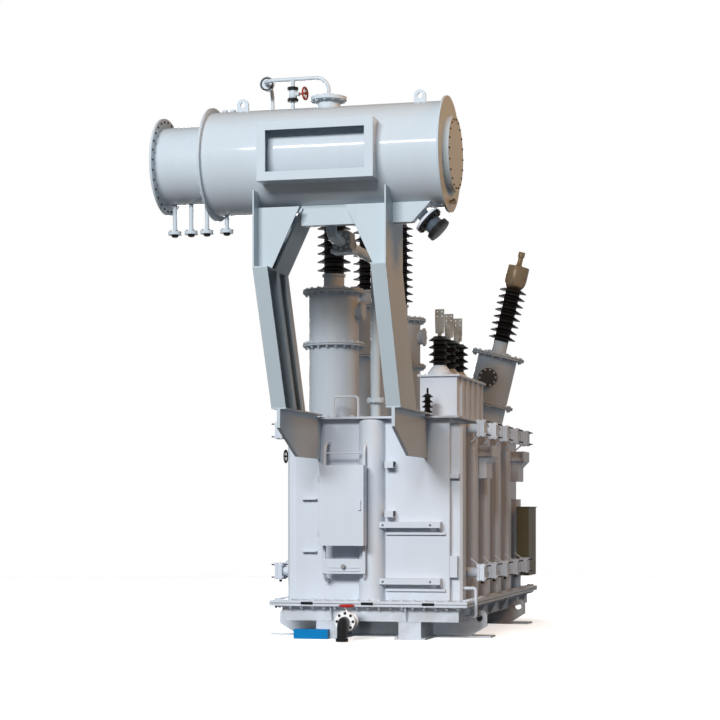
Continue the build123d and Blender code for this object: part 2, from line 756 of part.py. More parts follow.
def neutral_parts():
    """Inclined turret with its collar, porcelain and terminal, all on one leaning axis."""
    x, y = NEUTRAL_BASE
    z = COVER_TOP + NEUTRAL_RISE
    at = Pos(x, FRONT + y, z) * Rot(0, NEUTRAL_TILT, 0)
    wide = NEUTRAL_FLANGE_RADIUS
    tube = NEUTRAL_RADIUS
    flange = TURRET_FLANGE
    below = NEUTRAL_RISE + NEUTRAL_FLANGE_RADIUS
    turret = turned([
        (0, -below), (tube, -below), (tube, -flange), (wide, -flange), (wide, flange), (tube, flange),
        (tube, NEUTRAL_LENGTH - 2 * flange), (wide, NEUTRAL_LENGTH - 2 * flange), (wide, NEUTRAL_LENGTH),
        (0, NEUTRAL_LENGTH),
    ])
    middle = NEUTRAL_LENGTH / 2
    reach = -tube - NEUTRAL_COVER_REACH
    turret += rod((0, 0, middle), (0, reach, middle), HAND_HOLE_RADIUS)
    turret += rod((0, reach, middle), (0, reach - HAND_HOLE_COVER, middle), NEUTRAL_COVER_RADIUS)
    turret = at * turret
    below_y = (FRONT + y - 2 * tube, FRONT + y + 2 * tube)
    turret -= block((x - 4 * tube, x + 4 * tube), below_y, (0, COVER_TOP))
    ring = NEUTRAL_COLLAR_RADIUS + 2 * COLLAR_FLANGE
    collar = turned([
        (0, 0), (ring, 0), (ring, COLLAR_FLANGE), (NEUTRAL_COLLAR_RADIUS, COLLAR_FLANGE),
        (NEUTRAL_COLLAR_RADIUS, NEUTRAL_COLLAR_HEIGHT), (0, NEUTRAL_COLLAR_HEIGHT),
    ])
    porcelain = sheds(NEUTRAL_CORE_RADIUS, NEUTRAL_SHED_RADIUS, NEUTRAL_SHED_PITCH, NEUTRAL_SHED_COUNT)
    cap = NEUTRAL_CAP_HEIGHT
    terminal = turned([
        (0, 0), (NEUTRAL_CAP_RADIUS, 0), (NEUTRAL_CAP_RADIUS, NEUTRAL_CAP_SHOULDER),
        (NEUTRAL_CAP_RADIUS / 2, cap), (NEUTRAL_ROD_RADIUS, cap),
        (NEUTRAL_ROD_RADIUS, cap + NEUTRAL_ROD_LENGTH), (0, cap + NEUTRAL_ROD_LENGTH),
    ])
    foot = NEUTRAL_LENGTH + NEUTRAL_COLLAR_HEIGHT
    head = foot + NEUTRAL_SHED_PITCH * NEUTRAL_SHED_COUNT
    return (
        turret,
        at * Pos(0, 0, NEUTRAL_LENGTH) * collar,
        at * Pos(0, 0, foot) * porcelain,
        at * Pos(0, 0, head) * terminal,
    )


LV_TOP = COVER_TOP + LV_BOX_HEIGHT


def lv_place(index):
    """Centre of one low voltage bushing on the box."""
    return Pos(LV_BUSHING_X, FRONT + LV_BUSHING_FIRST + LV_BUSHING_PITCH * index, LV_TOP)


def lv_box():
    """Box on the cover with lips above and below, side ribs and a dome under each bushing."""
    y = (FRONT + LV_BOX_Y[0], FRONT + LV_BOX_Y[1])
    lip_x = (LV_BOX_X[0] - LV_BOX_LIP, LV_BOX_X[1] + LV_BOX_LIP)
    lip_y = (y[0] - LV_BOX_LIP, y[1] + LV_BOX_LIP)
    box = block(LV_BOX_X, y, (COVER_TOP, LV_TOP))
    box += block(lip_x, lip_y, (COVER_TOP, COVER_TOP + LV_LIP_SHEET))
    box += block(lip_x, lip_y, (LV_TOP - LV_LIP_SHEET, LV_TOP))
    pitch = (y[1] - y[0]) / LV_RIB_COUNT
    for i in range(LV_RIB_COUNT):
        rib_y = y[0] + pitch * (i + 0.5)
        box += block(lip_x, (rib_y - LV_RIB / 2, rib_y + LV_RIB / 2), (COVER_TOP, LV_TOP))
    dome = turned([
        (0, 0), (LV_DOME_RADIUS, 0), (LV_DOME_RADIUS, LV_DOME_HEIGHT / 3), (LV_CORE_RADIUS, LV_DOME_HEIGHT),
        (0, LV_DOME_HEIGHT),
    ])
    return Part() + [box, *[lv_place(index) * dome for index in range(LV_BUSHING_COUNT)]]


def lv_bushing(index):
    """Low voltage porcelain on its dome, and the flag terminal above it."""
    at = lv_place(index) * Pos(0, 0, LV_DOME_HEIGHT)
    porcelain = sheds(LV_CORE_RADIUS, LV_SHED_RADIUS, LV_SHED_PITCH, LV_SHED_COUNT)
    seat = LV_SHED_PITCH * LV_SHED_COUNT
    width, thick, height = LV_FLAG
    low = seat + LV_STUD_LENGTH
    terminal = rod((0, 0, seat), (0, 0, low), LV_STUD_RADIUS)
    terminal += block((-width / 2, width / 2), (-thick / 2, thick / 2), (low, low + height))
    middle = low + height - LV_FLAG_HOLE_SPACING
    step = LV_FLAG_HOLE_SPACING / 2
    for x in (-step, step):
        for z in (middle - step, middle + step):
            terminal -= rod((x, -thick / 2, z), (x, thick / 2, z), LV_FLAG_HOLE_RADIUS)
    return at * porcelain, at * terminal


def earthing_bushing():
    """Small bushing on the cover in front of the low voltage box."""
    x, y = EARTH_BUSHING
    base = rod((0, 0, 0), (0, 0, EARTH_CORE_RADIUS), EARTH_BASE_RADIUS)
    stack = Pos(0, 0, EARTH_CORE_RADIUS)
    stack *= sheds(EARTH_CORE_RADIUS, EARTH_SHED_RADIUS, EARTH_SHED_PITCH, EARTH_SHED_COUNT)
    top = EARTH_CORE_RADIUS + EARTH_SHED_PITCH * EARTH_SHED_COUNT
    stud = rod((0, 0, top), (0, 0, top + EARTH_STUD_LENGTH), EARTH_STUD_RADIUS)
    return Pos(x, FRONT + y, COVER_TOP) * (base + stack + stud)


def conservator_shell():
    """Main drum wall between its two end plates."""
    ends = (DRUM_LEFT + DRUM_END, DRUM_RIGHT - DRUM_END)
    outer = rod((ends[0], DRUM_Y, DRUM_HEIGHT), (ends[1], DRUM_Y, DRUM_HEIGHT), DRUM_RADIUS)
    return outer - drum_space(DRUM_RADIUS - DRUM_SHEET)


def drum_disc(x, radius):
    """Disc on the drum axis between two X values."""
    return rod((x[0], DRUM_Y, DRUM_HEIGHT), (x[1], DRUM_Y, DRUM_HEIGHT), radius)


def tap_drum_shell():
    """Wall of the smaller tap-changer drum on the left end."""
    left = DRUM_LEFT - TAP_DRUM_LENGTH + TAP_FLANGE
    return drum_disc((left, DRUM_LEFT), TAP_DRUM_RADIUS) - drum_space(TAP_DRUM_RADIUS - DRUM_SHEET)


def conservator_lug(x):
    """Lifting eye on top of the drum, cut to sit on it."""
    top = DRUM_HEIGHT + DRUM_RADIUS + LUG_RISE
    half = LUG_WIDTH / 2
    y = (DRUM_Y - LUG_PLATE / 2, DRUM_Y + LUG_PLATE / 2)
    lug = block((x - half, x + half), y, (DRUM_HEIGHT, top - half))
    lug += rod((x, y[0], top - half), (x, y[1], top - half), half)
    lug -= rod((x, y[0], top - half), (x, y[1], top - half), LUG_HOLE_RADIUS)
    return lug - drum_space(DRUM_RADIUS)


def drop_pipe(x, radius):
    """Short pipe down from a drum with a blank flange at its end."""
    pipe = rod((x, DRUM_Y, DRUM_HEIGHT), (x, DRUM_Y, DROP_PIPE_END), DROP_PIPE_RADIUS)
    pipe += rod((x, DRUM_Y, DROP_PIPE_END), (x, DRUM_Y, DROP_PIPE_END - DROP_FLANGE), DROP_FLANGE_RADIUS)
    return pipe - drum_space(radius)


NOZZLE_TOP = DRUM_HEIGHT + DRUM_RADIUS + NOZZLE_RISE + NOZZLE_FLANGE


def breather_pipe():
    """Top nozzle with its flange, and the pipe that runs left and then down behind the drum."""
    nozzle = rod((NOZZLE_X, DRUM_Y, DRUM_HEIGHT), (NOZZLE_X, DRUM_Y, NOZZLE_TOP), NOZZLE_RADIUS)
    low = NOZZLE_TOP - NOZZLE_FLANGE
    nozzle += rod((NOZZLE_X, DRUM_Y, low), (NOZZLE_X, DRUM_Y, NOZZLE_TOP), NOZZLE_FLANGE_RADIUS)
    back = DRUM_Y + BREATHER_BACK
    points = [
        (NOZZLE_X, DRUM_Y, NOZZLE_TOP - NOZZLE_FLANGE / 2), (NOZZLE_X, DRUM_Y, BREATHER_TOP),
        (BREATHER_LEFT, DRUM_Y, BREATHER_TOP), (BREATHER_LEFT, back, BREATHER_TOP),
        (BREATHER_LEFT, back, DRUM_HEIGHT),
    ]
    run = bent_pipe(points, BREATHER_RADIUS, BREATHER_BEND)
    ring_y = DRUM_Y + BREATHER_BEND
    ring_end = (BREATHER_LEFT, ring_y + BREATHER_RING, BREATHER_TOP)
    ring = rod((BREATHER_LEFT, ring_y, BREATHER_TOP), ring_end, BREATHER_RING_RADIUS)
    return (nozzle + run + ring) - drum_space(DRUM_RADIUS)


def bypass_valve():
    """Valve on a short branch between the breather pipe and the drum, its wheel turned to the front right."""
    middle = (DRUM_HEIGHT + DRUM_RADIUS + BREATHER_TOP) / 2
    half = BYPASS_BODY_HEIGHT / 2
    valve = rod((0, 0, DRUM_HEIGHT), (0, 0, BREATHER_TOP), BREATHER_RADIUS)
    valve += rod((0, 0, middle - half), (0, 0, middle + half), BYPASS_BODY_RADIUS)
    reach = BYPASS_BODY_RADIUS + BYPASS_STEM
    valve += rod((0, 0, middle), (0, -reach, middle), BREATHER_RADIUS / 2)
    hub = Pos(0, -reach, middle) * Rot(90, 0, 0)
    valve += hub * Torus(BYPASS_WHEEL_RADIUS, BYPASS_WHEEL_RIM)
    spoke = rod((0, 0, 0), (BYPASS_WHEEL_RADIUS, 0, 0), BYPASS_WHEEL_RIM / 2)
    for index in range(BYPASS_SPOKES):
        valve += hub * Rot(0, 0, index * 360 / BYPASS_SPOKES) * spoke
    valve = Pos(BYPASS_X, DRUM_Y, 0) * Rot(0, 0, BYPASS_TURN) * valve
    run = rod((BREATHER_LEFT, DRUM_Y, BREATHER_TOP), (NOZZLE_X, DRUM_Y, BREATHER_TOP), BREATHER_RADIUS)
    return valve - drum_space(DRUM_RADIUS) - run


def sign_frame():
    """Bare frame for a sign board: front border and side walls that reach back to the drum."""
    half_w = SIGN_WIDTH / 2
    half_h = SIGN_HEIGHT / 2
    z = DRUM_HEIGHT - SIGN_DROP
    front = DRUM_Y - DRUM_RADIUS - SIGN_GAP
    deep = (front, DRUM_Y)

    def ring(inset, depth):
        return block((-half_w + inset, half_w - inset), depth, (z - half_h + inset, z + half_h - inset))

    border = ring(0, (front, front + SIGN_SHEET)) - ring(SIGN_BORDER, (front, front + SIGN_SHEET))
    walls = ring(0, deep) - ring(SIGN_SHEET, deep)
    return border + (walls - drum_space(DRUM_RADIUS))


def level_gauge():
    """Oil gauge on a slanted neck under the right end of the drum."""
    lean = Vector(*GAUGE_LEAN).normalized()
    x, ahead = GAUGE_SEAT
    drop = math.sqrt(DRUM_RADIUS**2 - ahead**2)
    seat = Vector(x, DRUM_Y + ahead, DRUM_HEIGHT - drop)
    neck_end = seat + lean * GAUGE_NECK
    flange_end = neck_end + lean * GAUGE_FLANGE
    body_end = flange_end + lean * GAUGE_BODY
    gauge = rod(tuple(seat - lean * GAUGE_NECK_RADIUS), tuple(neck_end), GAUGE_NECK_RADIUS)
    gauge += rod(tuple(neck_end), tuple(flange_end), GAUGE_FLANGE_RADIUS)
    gauge += rod(tuple(flange_end), tuple(body_end), GAUGE_BODY_RADIUS)
    gauge += rod(tuple(body_end), tuple(body_end + lean * GAUGE_DIAL), GAUGE_DIAL_RADIUS)
    return gauge - drum_space(DRUM_RADIUS)


def saddle_beam():
    """Beam along X under the drum, its top cut to the drum and its right end sloped."""
    y = FRONT - BEAM_AHEAD
    outline = [
        (BEAM_X[0], BEAM_BOTTOM), (BEAM_X[1] - BEAM_SLOPE, BEAM_BOTTOM), (BEAM_X[1], BEAM_TOP),
        (BEAM_X[0], BEAM_TOP),
    ]
    beam = slab_xz(outline, (y - BEAM_THICKNESS / 2, y + BEAM_THICKNESS / 2))
    return beam - drum_space(DRUM_RADIUS)


LEG_HEAD = (FRONT - LEG_HEAD_AHEAD, FRONT - LEG_HEAD_AHEAD + LEG_DEPTH)
LEG_FOOT = (FRONT - LEG_FOOT_AHEAD, FRONT - LEG_FOOT_AHEAD + LEG_DEPTH)


def upper_bracket():
    """Right-hand bracket: outer web cut to the drum, tapered plates and a sloped inner plate at the rear."""
    t = LEG_SHEET
    front, rear = LEG_HEAD
    web_x = (LEG_X - t, LEG_X)
    inner_foot = LEG_X - LEG_WIDTH
    web = block(web_x, (front, rear), (LEG_HEAD_Z, BRACKET_WEB_TOP))
    outline = [
        (inner_foot, LEG_HEAD_Z), (LEG_X, LEG_HEAD_Z), (LEG_X, BRACKET_FRONT_TOP),
        (BRACKET_INNER_TOP, BRACKET_FRONT_TOP),
    ]
    face = front + BRACKET_SETBACK
    plates = slab_xz(outline, (face, face + t)) + slab_xz(outline, (rear - t, rear))
    slope = [
        (inner_foot, LEG_HEAD_Z), (inner_foot + BRACKET_SLOPE_SHEET, LEG_HEAD_Z),
        (BRACKET_INNER_TOP + BRACKET_SLOPE_SHEET, BRACKET_FRONT_TOP), (BRACKET_INNER_TOP, BRACKET_FRONT_TOP),
    ]
    floor = block((inner_foot, LEG_X), (front, rear), (LEG_HEAD_Z, LEG_HEAD_Z + t))
    bracket = web + plates + slab_xz(slope, (face + BRACKET_GAP, rear)) + floor
    return bracket - drum_space(DRUM_RADIUS)


def leg():
    """Right-hand leaning leg: outer web, front, middle and rear flanges, and strips along its inner edge."""
    t = LEG_SHEET
    foot_z = LEG_FOOT_Z
    head_z = LEG_HEAD_Z

    def leaning(start, width):
        """Outline of a strip that leans with the leg, measured back from its front edge."""
        foot = LEG_FOOT[0] + start
        head = LEG_HEAD[0] + start
        return [(foot, foot_z), (foot + width, foot_z), (head + width, head_z), (head, head_z)]

    flange_x = (LEG_X - LEG_WIDTH, LEG_X)
    body = slab_yz(leaning(0, LEG_DEPTH), (LEG_X - t, LEG_X))
    body += slab_yz(leaning(0, t), flange_x)
    body += slab_yz(leaning(LEG_DEPTH - t, t), flange_x)
    body += slab_yz(leaning(LEG_DEPTH / 2, t), flange_x)
    for start, width in LEG_STRIPS:
        body += slab_yz(leaning(start, width), (flange_x[0], flange_x[0] + t))
    return body


def leg_gusset():
    """Right-hand cantilever plate on the front wall, with the foot plate that a leg stands on."""
    x = LEG_X - LEG_WIDTH / 2
    top = LEG_FOOT_Z - GUSSET_FLANGE
    nose = FRONT - LEG_FOOT_AHEAD
    notch = FRONT - COVER_OVERHANG - GUSSET_COVER_GAP
    under = BELL_TOP - GUSSET_COVER_GAP
    low_nose = top - GUSSET_NOSE
    heel = FRONT - GUSSET_HEEL
    web = slab_yz(
        [(FRONT, under), (notch, under), (notch, top), (nose, top), (nose, low_nose), (heel, GUSSET_BOTTOM),
         (FRONT, GUSSET_BOTTOM)],
        (x - GUSSET_SHEET / 2, x + GUSSET_SHEET / 2),
    )
    return web + block((LEG_X - LEG_WIDTH, LEG_X), (nose, notch), (top, LEG_FOOT_Z))


RISER_Y = FRONT + RISER[1]
FEED_Y = FRONT - FEED_AHEAD
RELAY_Y = FRONT - RELAY_AHEAD


def oil_riser():
    """Pipe from the cover to the relay, and from the relay up to the drum."""
    x = RISER[0]
    behind = RELAY_Y + RELAY_LENGTH / 2
    ahead = RELAY_Y - RELAY_LENGTH / 2
    up = [(x, RISER_Y, COVER_TOP), (x, RISER_Y, RISER_TOP), (x, behind, RISER_TOP)]
    rise = bent_pipe(up, RISER_RADIUS, RISER_BEND)
    joint = COVER_TOP + RISER_FLANGE_HEIGHT
    rise += rod((x, RISER_Y, joint), (x, RISER_Y, joint + 2 * RISER_FLANGE), RISER_FLANGE_RADIUS)
    on = [(x, ahead, RISER_TOP), (x, FEED_Y, RISER_TOP), (x, FEED_Y, DRUM_HEIGHT)]
    feed = bent_pipe(on, RISER_RADIUS, RISER_BEND)
    return [rise, feed - drum_space(DRUM_RADIUS)]


def gas_relay():
    """Gas relay: a cast box on a wider base plate between two round flanges, with a small cap on top."""
    x = RISER[0]
    half = RELAY_LENGTH / 2
    z = RISER_TOP
    low = z - RELAY_HEIGHT / 2
    top = z + RELAY_HEIGHT / 2
    box_y = (RELAY_Y - half + RELAY_FLANGE, RELAY_Y + half - RELAY_FLANGE)
    relay = block((x - RELAY_WIDTH / 2, x + RELAY_WIDTH / 2), box_y, (low, top))
    relay += block((x - RELAY_BASE_WIDTH / 2, x + RELAY_BASE_WIDTH / 2), box_y, (low, low + RELAY_FLANGE))
    relay += rod((x, RELAY_Y - half, z), (x, box_y[0], z), RELAY_FLANGE_RADIUS)
    relay += rod((x, box_y[1], z), (x, RELAY_Y + half, z), RELAY_FLANGE_RADIUS)
    return relay + rod((x, RELAY_Y, top), (x, RELAY_Y, top + RELAY_FLANGE), RELAY_CAP_RADIUS)


DRAIN_BODY_Y = FRONT - DRAIN_BODY_AHEAD
DRAIN_FACE_Y = DRAIN_BODY_Y - DRAIN_BODY_LENGTH / 2 - DRAIN_FLANGE


def drain_valve():
    """Drain valve on a stub from the tray: body between two round flanges, with an upright stem."""
    x = DRAIN_X
    z = DRAIN_HEIGHT
    half = DRAIN_BODY_LENGTH / 2
    valve = rod((x, TRAY_FRONT, z), (x, DRAIN_FACE_Y, z), DRAIN_PIPE_RADIUS)
    valve += rod((x, DRAIN_BODY_Y - half, z), (x, DRAIN_BODY_Y + half, z), DRAIN_BODY_RADIUS)
    for y in (DRAIN_BODY_Y - half - DRAIN_FLANGE, DRAIN_BODY_Y + half):
        valve += rod((x, y, z), (x, y + DRAIN_FLANGE, z), DRAIN_FLANGE_RADIUS)
    stem_top = z + DRAIN_BODY_RADIUS + DRAIN_STEM
    return valve + rod((x, DRAIN_BODY_Y, z), (x, DRAIN_BODY_Y, stem_top), DRAIN_STEM_RADIUS)


def drain_handwheel():
    """Red wheel on top of the drain valve's stem."""
    z = DRAIN_HEIGHT + DRAIN_BODY_RADIUS + DRAIN_STEM
    hub = rod((0, 0, 0), (0, 0, 2 * DRAIN_WHEEL_RIM), 2 * DRAIN_STEM_RADIUS)
    rim = Pos(0, 0, DRAIN_WHEEL_RIM) * Torus(DRAIN_WHEEL_RADIUS, DRAIN_WHEEL_RIM)
    spokes = [
        rod((-reach_x, -reach_y, DRAIN_WHEEL_RIM), (reach_x, reach_y, DRAIN_WHEEL_RIM), DRAIN_WHEEL_RIM / 2)
        for reach_x, reach_y in ((DRAIN_WHEEL_RADIUS, 0), (0, DRAIN_WHEEL_RADIUS))
    ]
    wheel = Part() + [hub, rim, *spokes]
    return Pos(DRAIN_X, DRAIN_BODY_Y, z) * wheel


def drain_spout():
    """Capped elbow that hangs from the drain valve."""
    z = DRAIN_HEIGHT
    y = DRAIN_FACE_Y - SPOUT_REACH
    low = SPOUT_CLEARANCE + SPOUT_CAP
    elbow = bent_pipe(
        [(DRAIN_X, DRAIN_FACE_Y, z), (DRAIN_X, y, z), (DRAIN_X, y, low)], SPOUT_RADIUS, SPOUT_BEND
    )
    return elbow + rod((DRAIN_X, y, low), (DRAIN_X, y, SPOUT_CLEARANCE), SPOUT_CAP_RADIUS)


def rear_cabinet():
    """Flat cabinet on the short stiffener of the right-hand wall, with a small roof."""
    y = (FRONT + REAR_CABINET_Y[0], FRONT + REAR_CABINET_Y[1])
    back = SIDE + STIFFENER_DEPTH
    face = back + REAR_CABINET_DEPTH
    body = block((back, face), y, REAR_CABINET_Z)
    roof_z = (REAR_CABINET_Z[1], REAR_CABINET_Z[1] + REAR_CABINET_ROOF)
    roof_y = (y[0] - REAR_CABINET_ROOF, y[1] + REAR_CABINET_ROOF)
    return body + block((back, face + REAR_CABINET_ROOF), roof_y, roof_z)


def cover_hoop():
    """Round-bar hoop on the cover's front edge."""
    y = FRONT + HOOP_Y
    top = COVER_TOP + HOOP_HEIGHT
    left, right = HOOP_X
    points = [(left, y, COVER_TOP), (left, y, top), (right, y, top), (right, y, COVER_TOP)]
    return bent_pipe(points, HOOP_RADIUS, HOOP_BEND)


def chock():
    """Block on the ground against the front end of the left skid."""
    length, depth, height = CHOCK
    end = FRONT - SKID_OVERRUN
    return block((CHOCK_X, CHOCK_X + length), (end - depth, end), (0, height))


def tank():
    wide = SIDE + JOINT_FLANGE_REACH
    long = -FRONT + JOINT_FLANGE_REACH
    split = TRAY_TOP + JOINT_FLANGE_THICKNESS
    save("base_tray", block((-TRAY_SIDE, TRAY_SIDE), (TRAY_FRONT, -TRAY_FRONT), (SKID_HEIGHT, TRAY_TOP)))
    save("lower_flange", block((-wide, wide), (-long, long), (TRAY_TOP, split)))
    save("upper_flange", block((-wide, wide), (-long, long), (split, JOINT_TOP)))
    save("tank_body", block((-SIDE, SIDE), (FRONT, -FRONT), (JOINT_TOP, BELL_TOP)))
    cover_x = SIDE + COVER_OVERHANG
    cover_y = -FRONT + COVER_OVERHANG
    save("cover", block((-cover_x, cover_x), (-cover_y, cover_y), (BELL_TOP, COVER_TOP)))
    save("tray_gussets", *tray_gussets())
    save("end_ribs", end_rib(), mirror(end_rib(), Plane.XZ))
    save("right_stiffeners", *stiffeners())
    save("left_stiffeners", *[mirrored(piece) for piece in stiffeners()])


def skids():
    save("long_skids", long_skid(), mirrored(long_skid()))
    save("cross_skids", *cross_skid(CROSS_SKID_FRONT), *cross_skid(CROSS_SKID_REAR))
    save("chock", chock())


def side_fittings():
    places = valve_places()
    save("right_valves", *[radiator_valve(y, z, RIGHT_VALVE_REACH) for y, z in places])
    save("left_valves", *[mirrored(radiator_valve(y, z, LEFT_VALVE_REACH)) for y, z in places])
    levers = [valve_lever(y, z, RIGHT_VALVE_REACH) for y, z in places]
    levers += [mirrored(valve_lever(y, z, LEFT_VALVE_REACH)) for y, z in places]
    save("valve_levers", *levers)
    bays = [FRONT + VALVE_FIRST + STIFFENER_PITCH * bay for bay in BOLLARD_BAYS]
    bollards = [bollard(y) for y in bays]
    save("lifting_bollards", *bollards, *[mirrored(piece) for piece in bollards])
    save("rear_cabinet", rear_cabinet())


def front_fittings():
    save("tube_frame", tube_frame())
    save("cabinet_body", cabinet_body())
    save("cabinet_door", cabinet_door())
    save("wall_brackets", *wall_brackets())
    save("drain_valve", drain_valve())
    save("drain_handwheel", drain_handwheel())
    save("drain_spout", drain_spout())


def bushings():
    collars = []
    terminals = []
    for name, place in HV_PLACES.items():
        collar, porcelain, terminal = hv_bushing(place)
        save(f"hv_turret_{name}", hv_turret(place))
        save(f"hv_porcelain_{name}", porcelain)
        collars.append(collar)
        terminals.append(terminal)
    save("hv_collars", *collars)
    save("hv_terminals", *terminals)
    turret, collar, porcelain, terminal = neutral_parts()
    save("neutral_turret", turret)
    save("neutral_collar", collar)
    save("neutral_porcelain", porcelain)
    save("neutral_terminal", terminal)
    low_voltage = [lv_bushing(index) for index in range(LV_BUSHING_COUNT)]
    save("lv_box", lv_box())
    save("lv_porcelain", *[porcelain for porcelain, _ in low_voltage])
    save("lv_terminals", *[terminal for _, terminal in low_voltage])
    save("earthing_bushing", earthing_bushing())
    save("cover_hoop", cover_hoop())


def conservator():
    save("conservator_shell", conservator_shell())
    save("conservator_left_end", drum_disc((DRUM_LEFT, DRUM_LEFT + DRUM_END), DRUM_RIM_RADIUS))
    save("conservator_right_end", drum_disc((DRUM_RIGHT - DRUM_END, DRUM_RIGHT), DRUM_RIM_RADIUS))
    save("manhole_cover", drum_disc((DRUM_RIGHT, DRUM_RIGHT + MANHOLE_THICKNESS), MANHOLE_RADIUS))
    tap_left = DRUM_LEFT - TAP_DRUM_LENGTH
    save("tap_drum_shell", tap_drum_shell())
    save("tap_drum_end", drum_disc((tap_left, tap_left + TAP_FLANGE), TAP_FLANGE_RADIUS))
    save("conservator_lugs", *[conservator_lug(x) for x in LUG_X])
    drops = [drop_pipe(x, TAP_DRUM_RADIUS) for x in DROP_PIPE_X]
    save("drop_pipes", *drops, drop_pipe(MAIN_DROP_X, DRUM_RADIUS))
    save("breather_pipe", breather_pipe())
    save("bypass_valve", bypass_valve())
    save("sign_frame", sign_frame())
    save("level_gauge", level_gauge())
    save("oil_riser", *oil_riser())
    save("gas_relay", gas_relay())


def support():
    beam = saddle_beam()
    bracket = upper_bracket()
    save("saddle_beam", beam)
    save("upper_brackets", bracket - beam, mirrored(bracket) - beam)
    save("legs", leg(), mirrored(leg()))
    save("leg_gussets", leg_gusset(), mirrored(leg_gusset()))


os.makedirs("parts", exist_ok=True)
skids()
tank()
side_fittings()
front_fittings()
bushings()
conservator()
support()
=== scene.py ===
"""Looks of the power transformer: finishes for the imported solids, and the bolts and small fittings on them."""
import math

import bpy
import numpy as np
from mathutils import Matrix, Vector


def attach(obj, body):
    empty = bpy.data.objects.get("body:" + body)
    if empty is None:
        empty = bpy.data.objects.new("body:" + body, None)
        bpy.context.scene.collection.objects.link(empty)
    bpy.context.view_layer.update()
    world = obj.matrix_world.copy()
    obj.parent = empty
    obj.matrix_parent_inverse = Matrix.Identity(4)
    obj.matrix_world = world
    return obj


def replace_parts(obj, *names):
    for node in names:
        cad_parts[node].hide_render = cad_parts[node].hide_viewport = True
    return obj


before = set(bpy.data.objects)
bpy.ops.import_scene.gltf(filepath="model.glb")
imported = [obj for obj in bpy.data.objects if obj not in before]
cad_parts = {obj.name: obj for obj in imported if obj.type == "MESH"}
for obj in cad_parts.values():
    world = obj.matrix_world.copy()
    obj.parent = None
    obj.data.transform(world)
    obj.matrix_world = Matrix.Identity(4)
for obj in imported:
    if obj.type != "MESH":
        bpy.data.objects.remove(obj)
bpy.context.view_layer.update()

# The photograph's camera, worked out from the tank's edges
CAMERA_PLACE = (5.111, -23.218, 1.444)
CAMERA_YAW = 14.1
CAMERA_LENS = 94.37
CAMERA_SENSOR = 36.0
CAMERA_SHIFT = 0.2107
CAMERA_REACH = 200.0

# Values of the finishes
NOISE_ROUGHNESS = 0.55
PAINT_IOR = 1.48
COAT_ROUGHNESS = 0.07
DEEP_SHARE = 0.90
PALE_SHARE = 1.06
RAIN_STRETCH = (4.0, 4.0, 0.16)
BRUSHED_STRETCH = (1.0, 1.0, 14.0)
GRAIN_STRETCH = (0.5, 9.0, 9.0)
DUST_FACING = (0.5, 0.98)
GRIME_LEVELS = (0.0, 0.75)
SOFT_EDGE = 0.006
EDGE_SAMPLES = 4
SOCKET_OF = {
    "colour": "Base Color", "roughness": "Roughness", "metallic": "Metallic",
    "coat": "Coat Weight", "normal": "Normal", "glow": "Emission Color",
}


class Wire:
    """A shader socket that takes part in sums. Each operator adds one Math node to the tree."""

    def __init__(self, tree, socket=None):
        self.tree = tree
        self.socket = socket

    def node(self, kind, settings=None, inputs=None, out=0):
        """Any node by its type: the settings are set first, then the sockets get values or links."""
        made = self.tree.nodes.new(kind)
        for key, value in (settings or {}).items():
            setattr(made, key, value)
        for key, value in (inputs or {}).items():
            if isinstance(value, Wire):
                self.tree.links.new(value.socket, made.inputs[key])
            else:
                made.inputs[key].default_value = value
        return Wire(self.tree, made.outputs[out] if made.outputs else None)

    def math(self, operation, *values):
        return self.node("ShaderNodeMath", {"operation": operation}, dict(enumerate(values)))

    def __add__(self, other):
        return self.math("ADD", self, other)

    def __radd__(self, other):
        return self.math("ADD", other, self)

    def __sub__(self, other):
        return self.math("SUBTRACT", self, other)

    def __rsub__(self, other):
        return self.math("SUBTRACT", other, self)

    def __mul__(self, other):
        return self.math("MULTIPLY", self, other)

    def __rmul__(self, other):
        return self.math("MULTIPLY", other, self)

    def step(self, low, high):
        """Smooth rise from 0 at low to 1 at high."""
        return self.node(
            "ShaderNodeMapRange",
            {"interpolation_type": "SMOOTHSTEP"},
            {"Value": self, "From Min": low, "From Max": high},
        )

    def noise(self, scale, detail, stretch=None):
        """Cloudy value round 0.5 on Object coordinates; stretch scales the three axes first."""
        place = self.node("ShaderNodeTexCoord", out="Object")
        if stretch:
            place = self.node("ShaderNodeMapping", None, {"Vector": place, "Scale": stretch})
        return self.node(
            "ShaderNodeTexNoise",
            None,
            {"Vector": place, "Scale": scale, "Detail": detail, "Roughness": NOISE_ROUGHNESS},
        )

    def height(self):
        """The upward part of a vector."""
        return self.node("ShaderNodeSeparateXYZ", None, {"Vector": self}, out="Z")

    def mix(self, low, high):
        """Colour between two colours, with this value as the share of the second."""
        return self.node("ShaderNodeMix", {"data_type": "RGBA"}, {0: self, 6: low, 7: high}, out=2)

    def bump(self, strength, distance, normal=None):
        """Normal of a surface that this value raises, on top of another normal if there is one."""
        inputs = {"Strength": strength, "Distance": distance, "Height": self}
        if normal:
            inputs["Normal"] = normal
        return self.node("ShaderNodeBump", None, inputs)

    def seen(self, glossy_share):
        """1 for rays from the camera, also through clear matter, a share for mirrored rays, 0 for lighting."""
        camera = self.node("ShaderNodeLightPath", out="Is Camera Ray")
        glossy = self.node("ShaderNodeLightPath", out="Is Glossy Ray")
        clear = self.node("ShaderNodeLightPath", out="Is Transmission Ray")
        return self.math("MAXIMUM", camera, self.math("MAXIMUM", glossy * glossy_share, clear))


def rgb(red, green, blue):
    """Display colour from 0 to 255 as the linear colour that a socket takes."""
    share = np.array([red, green, blue]) / 255.0
    linear = np.where(share <= 0.04045, share / 12.92, ((share + 0.055) / 1.055) ** 2.4)
    return (*linear.tolist(), 1.0)


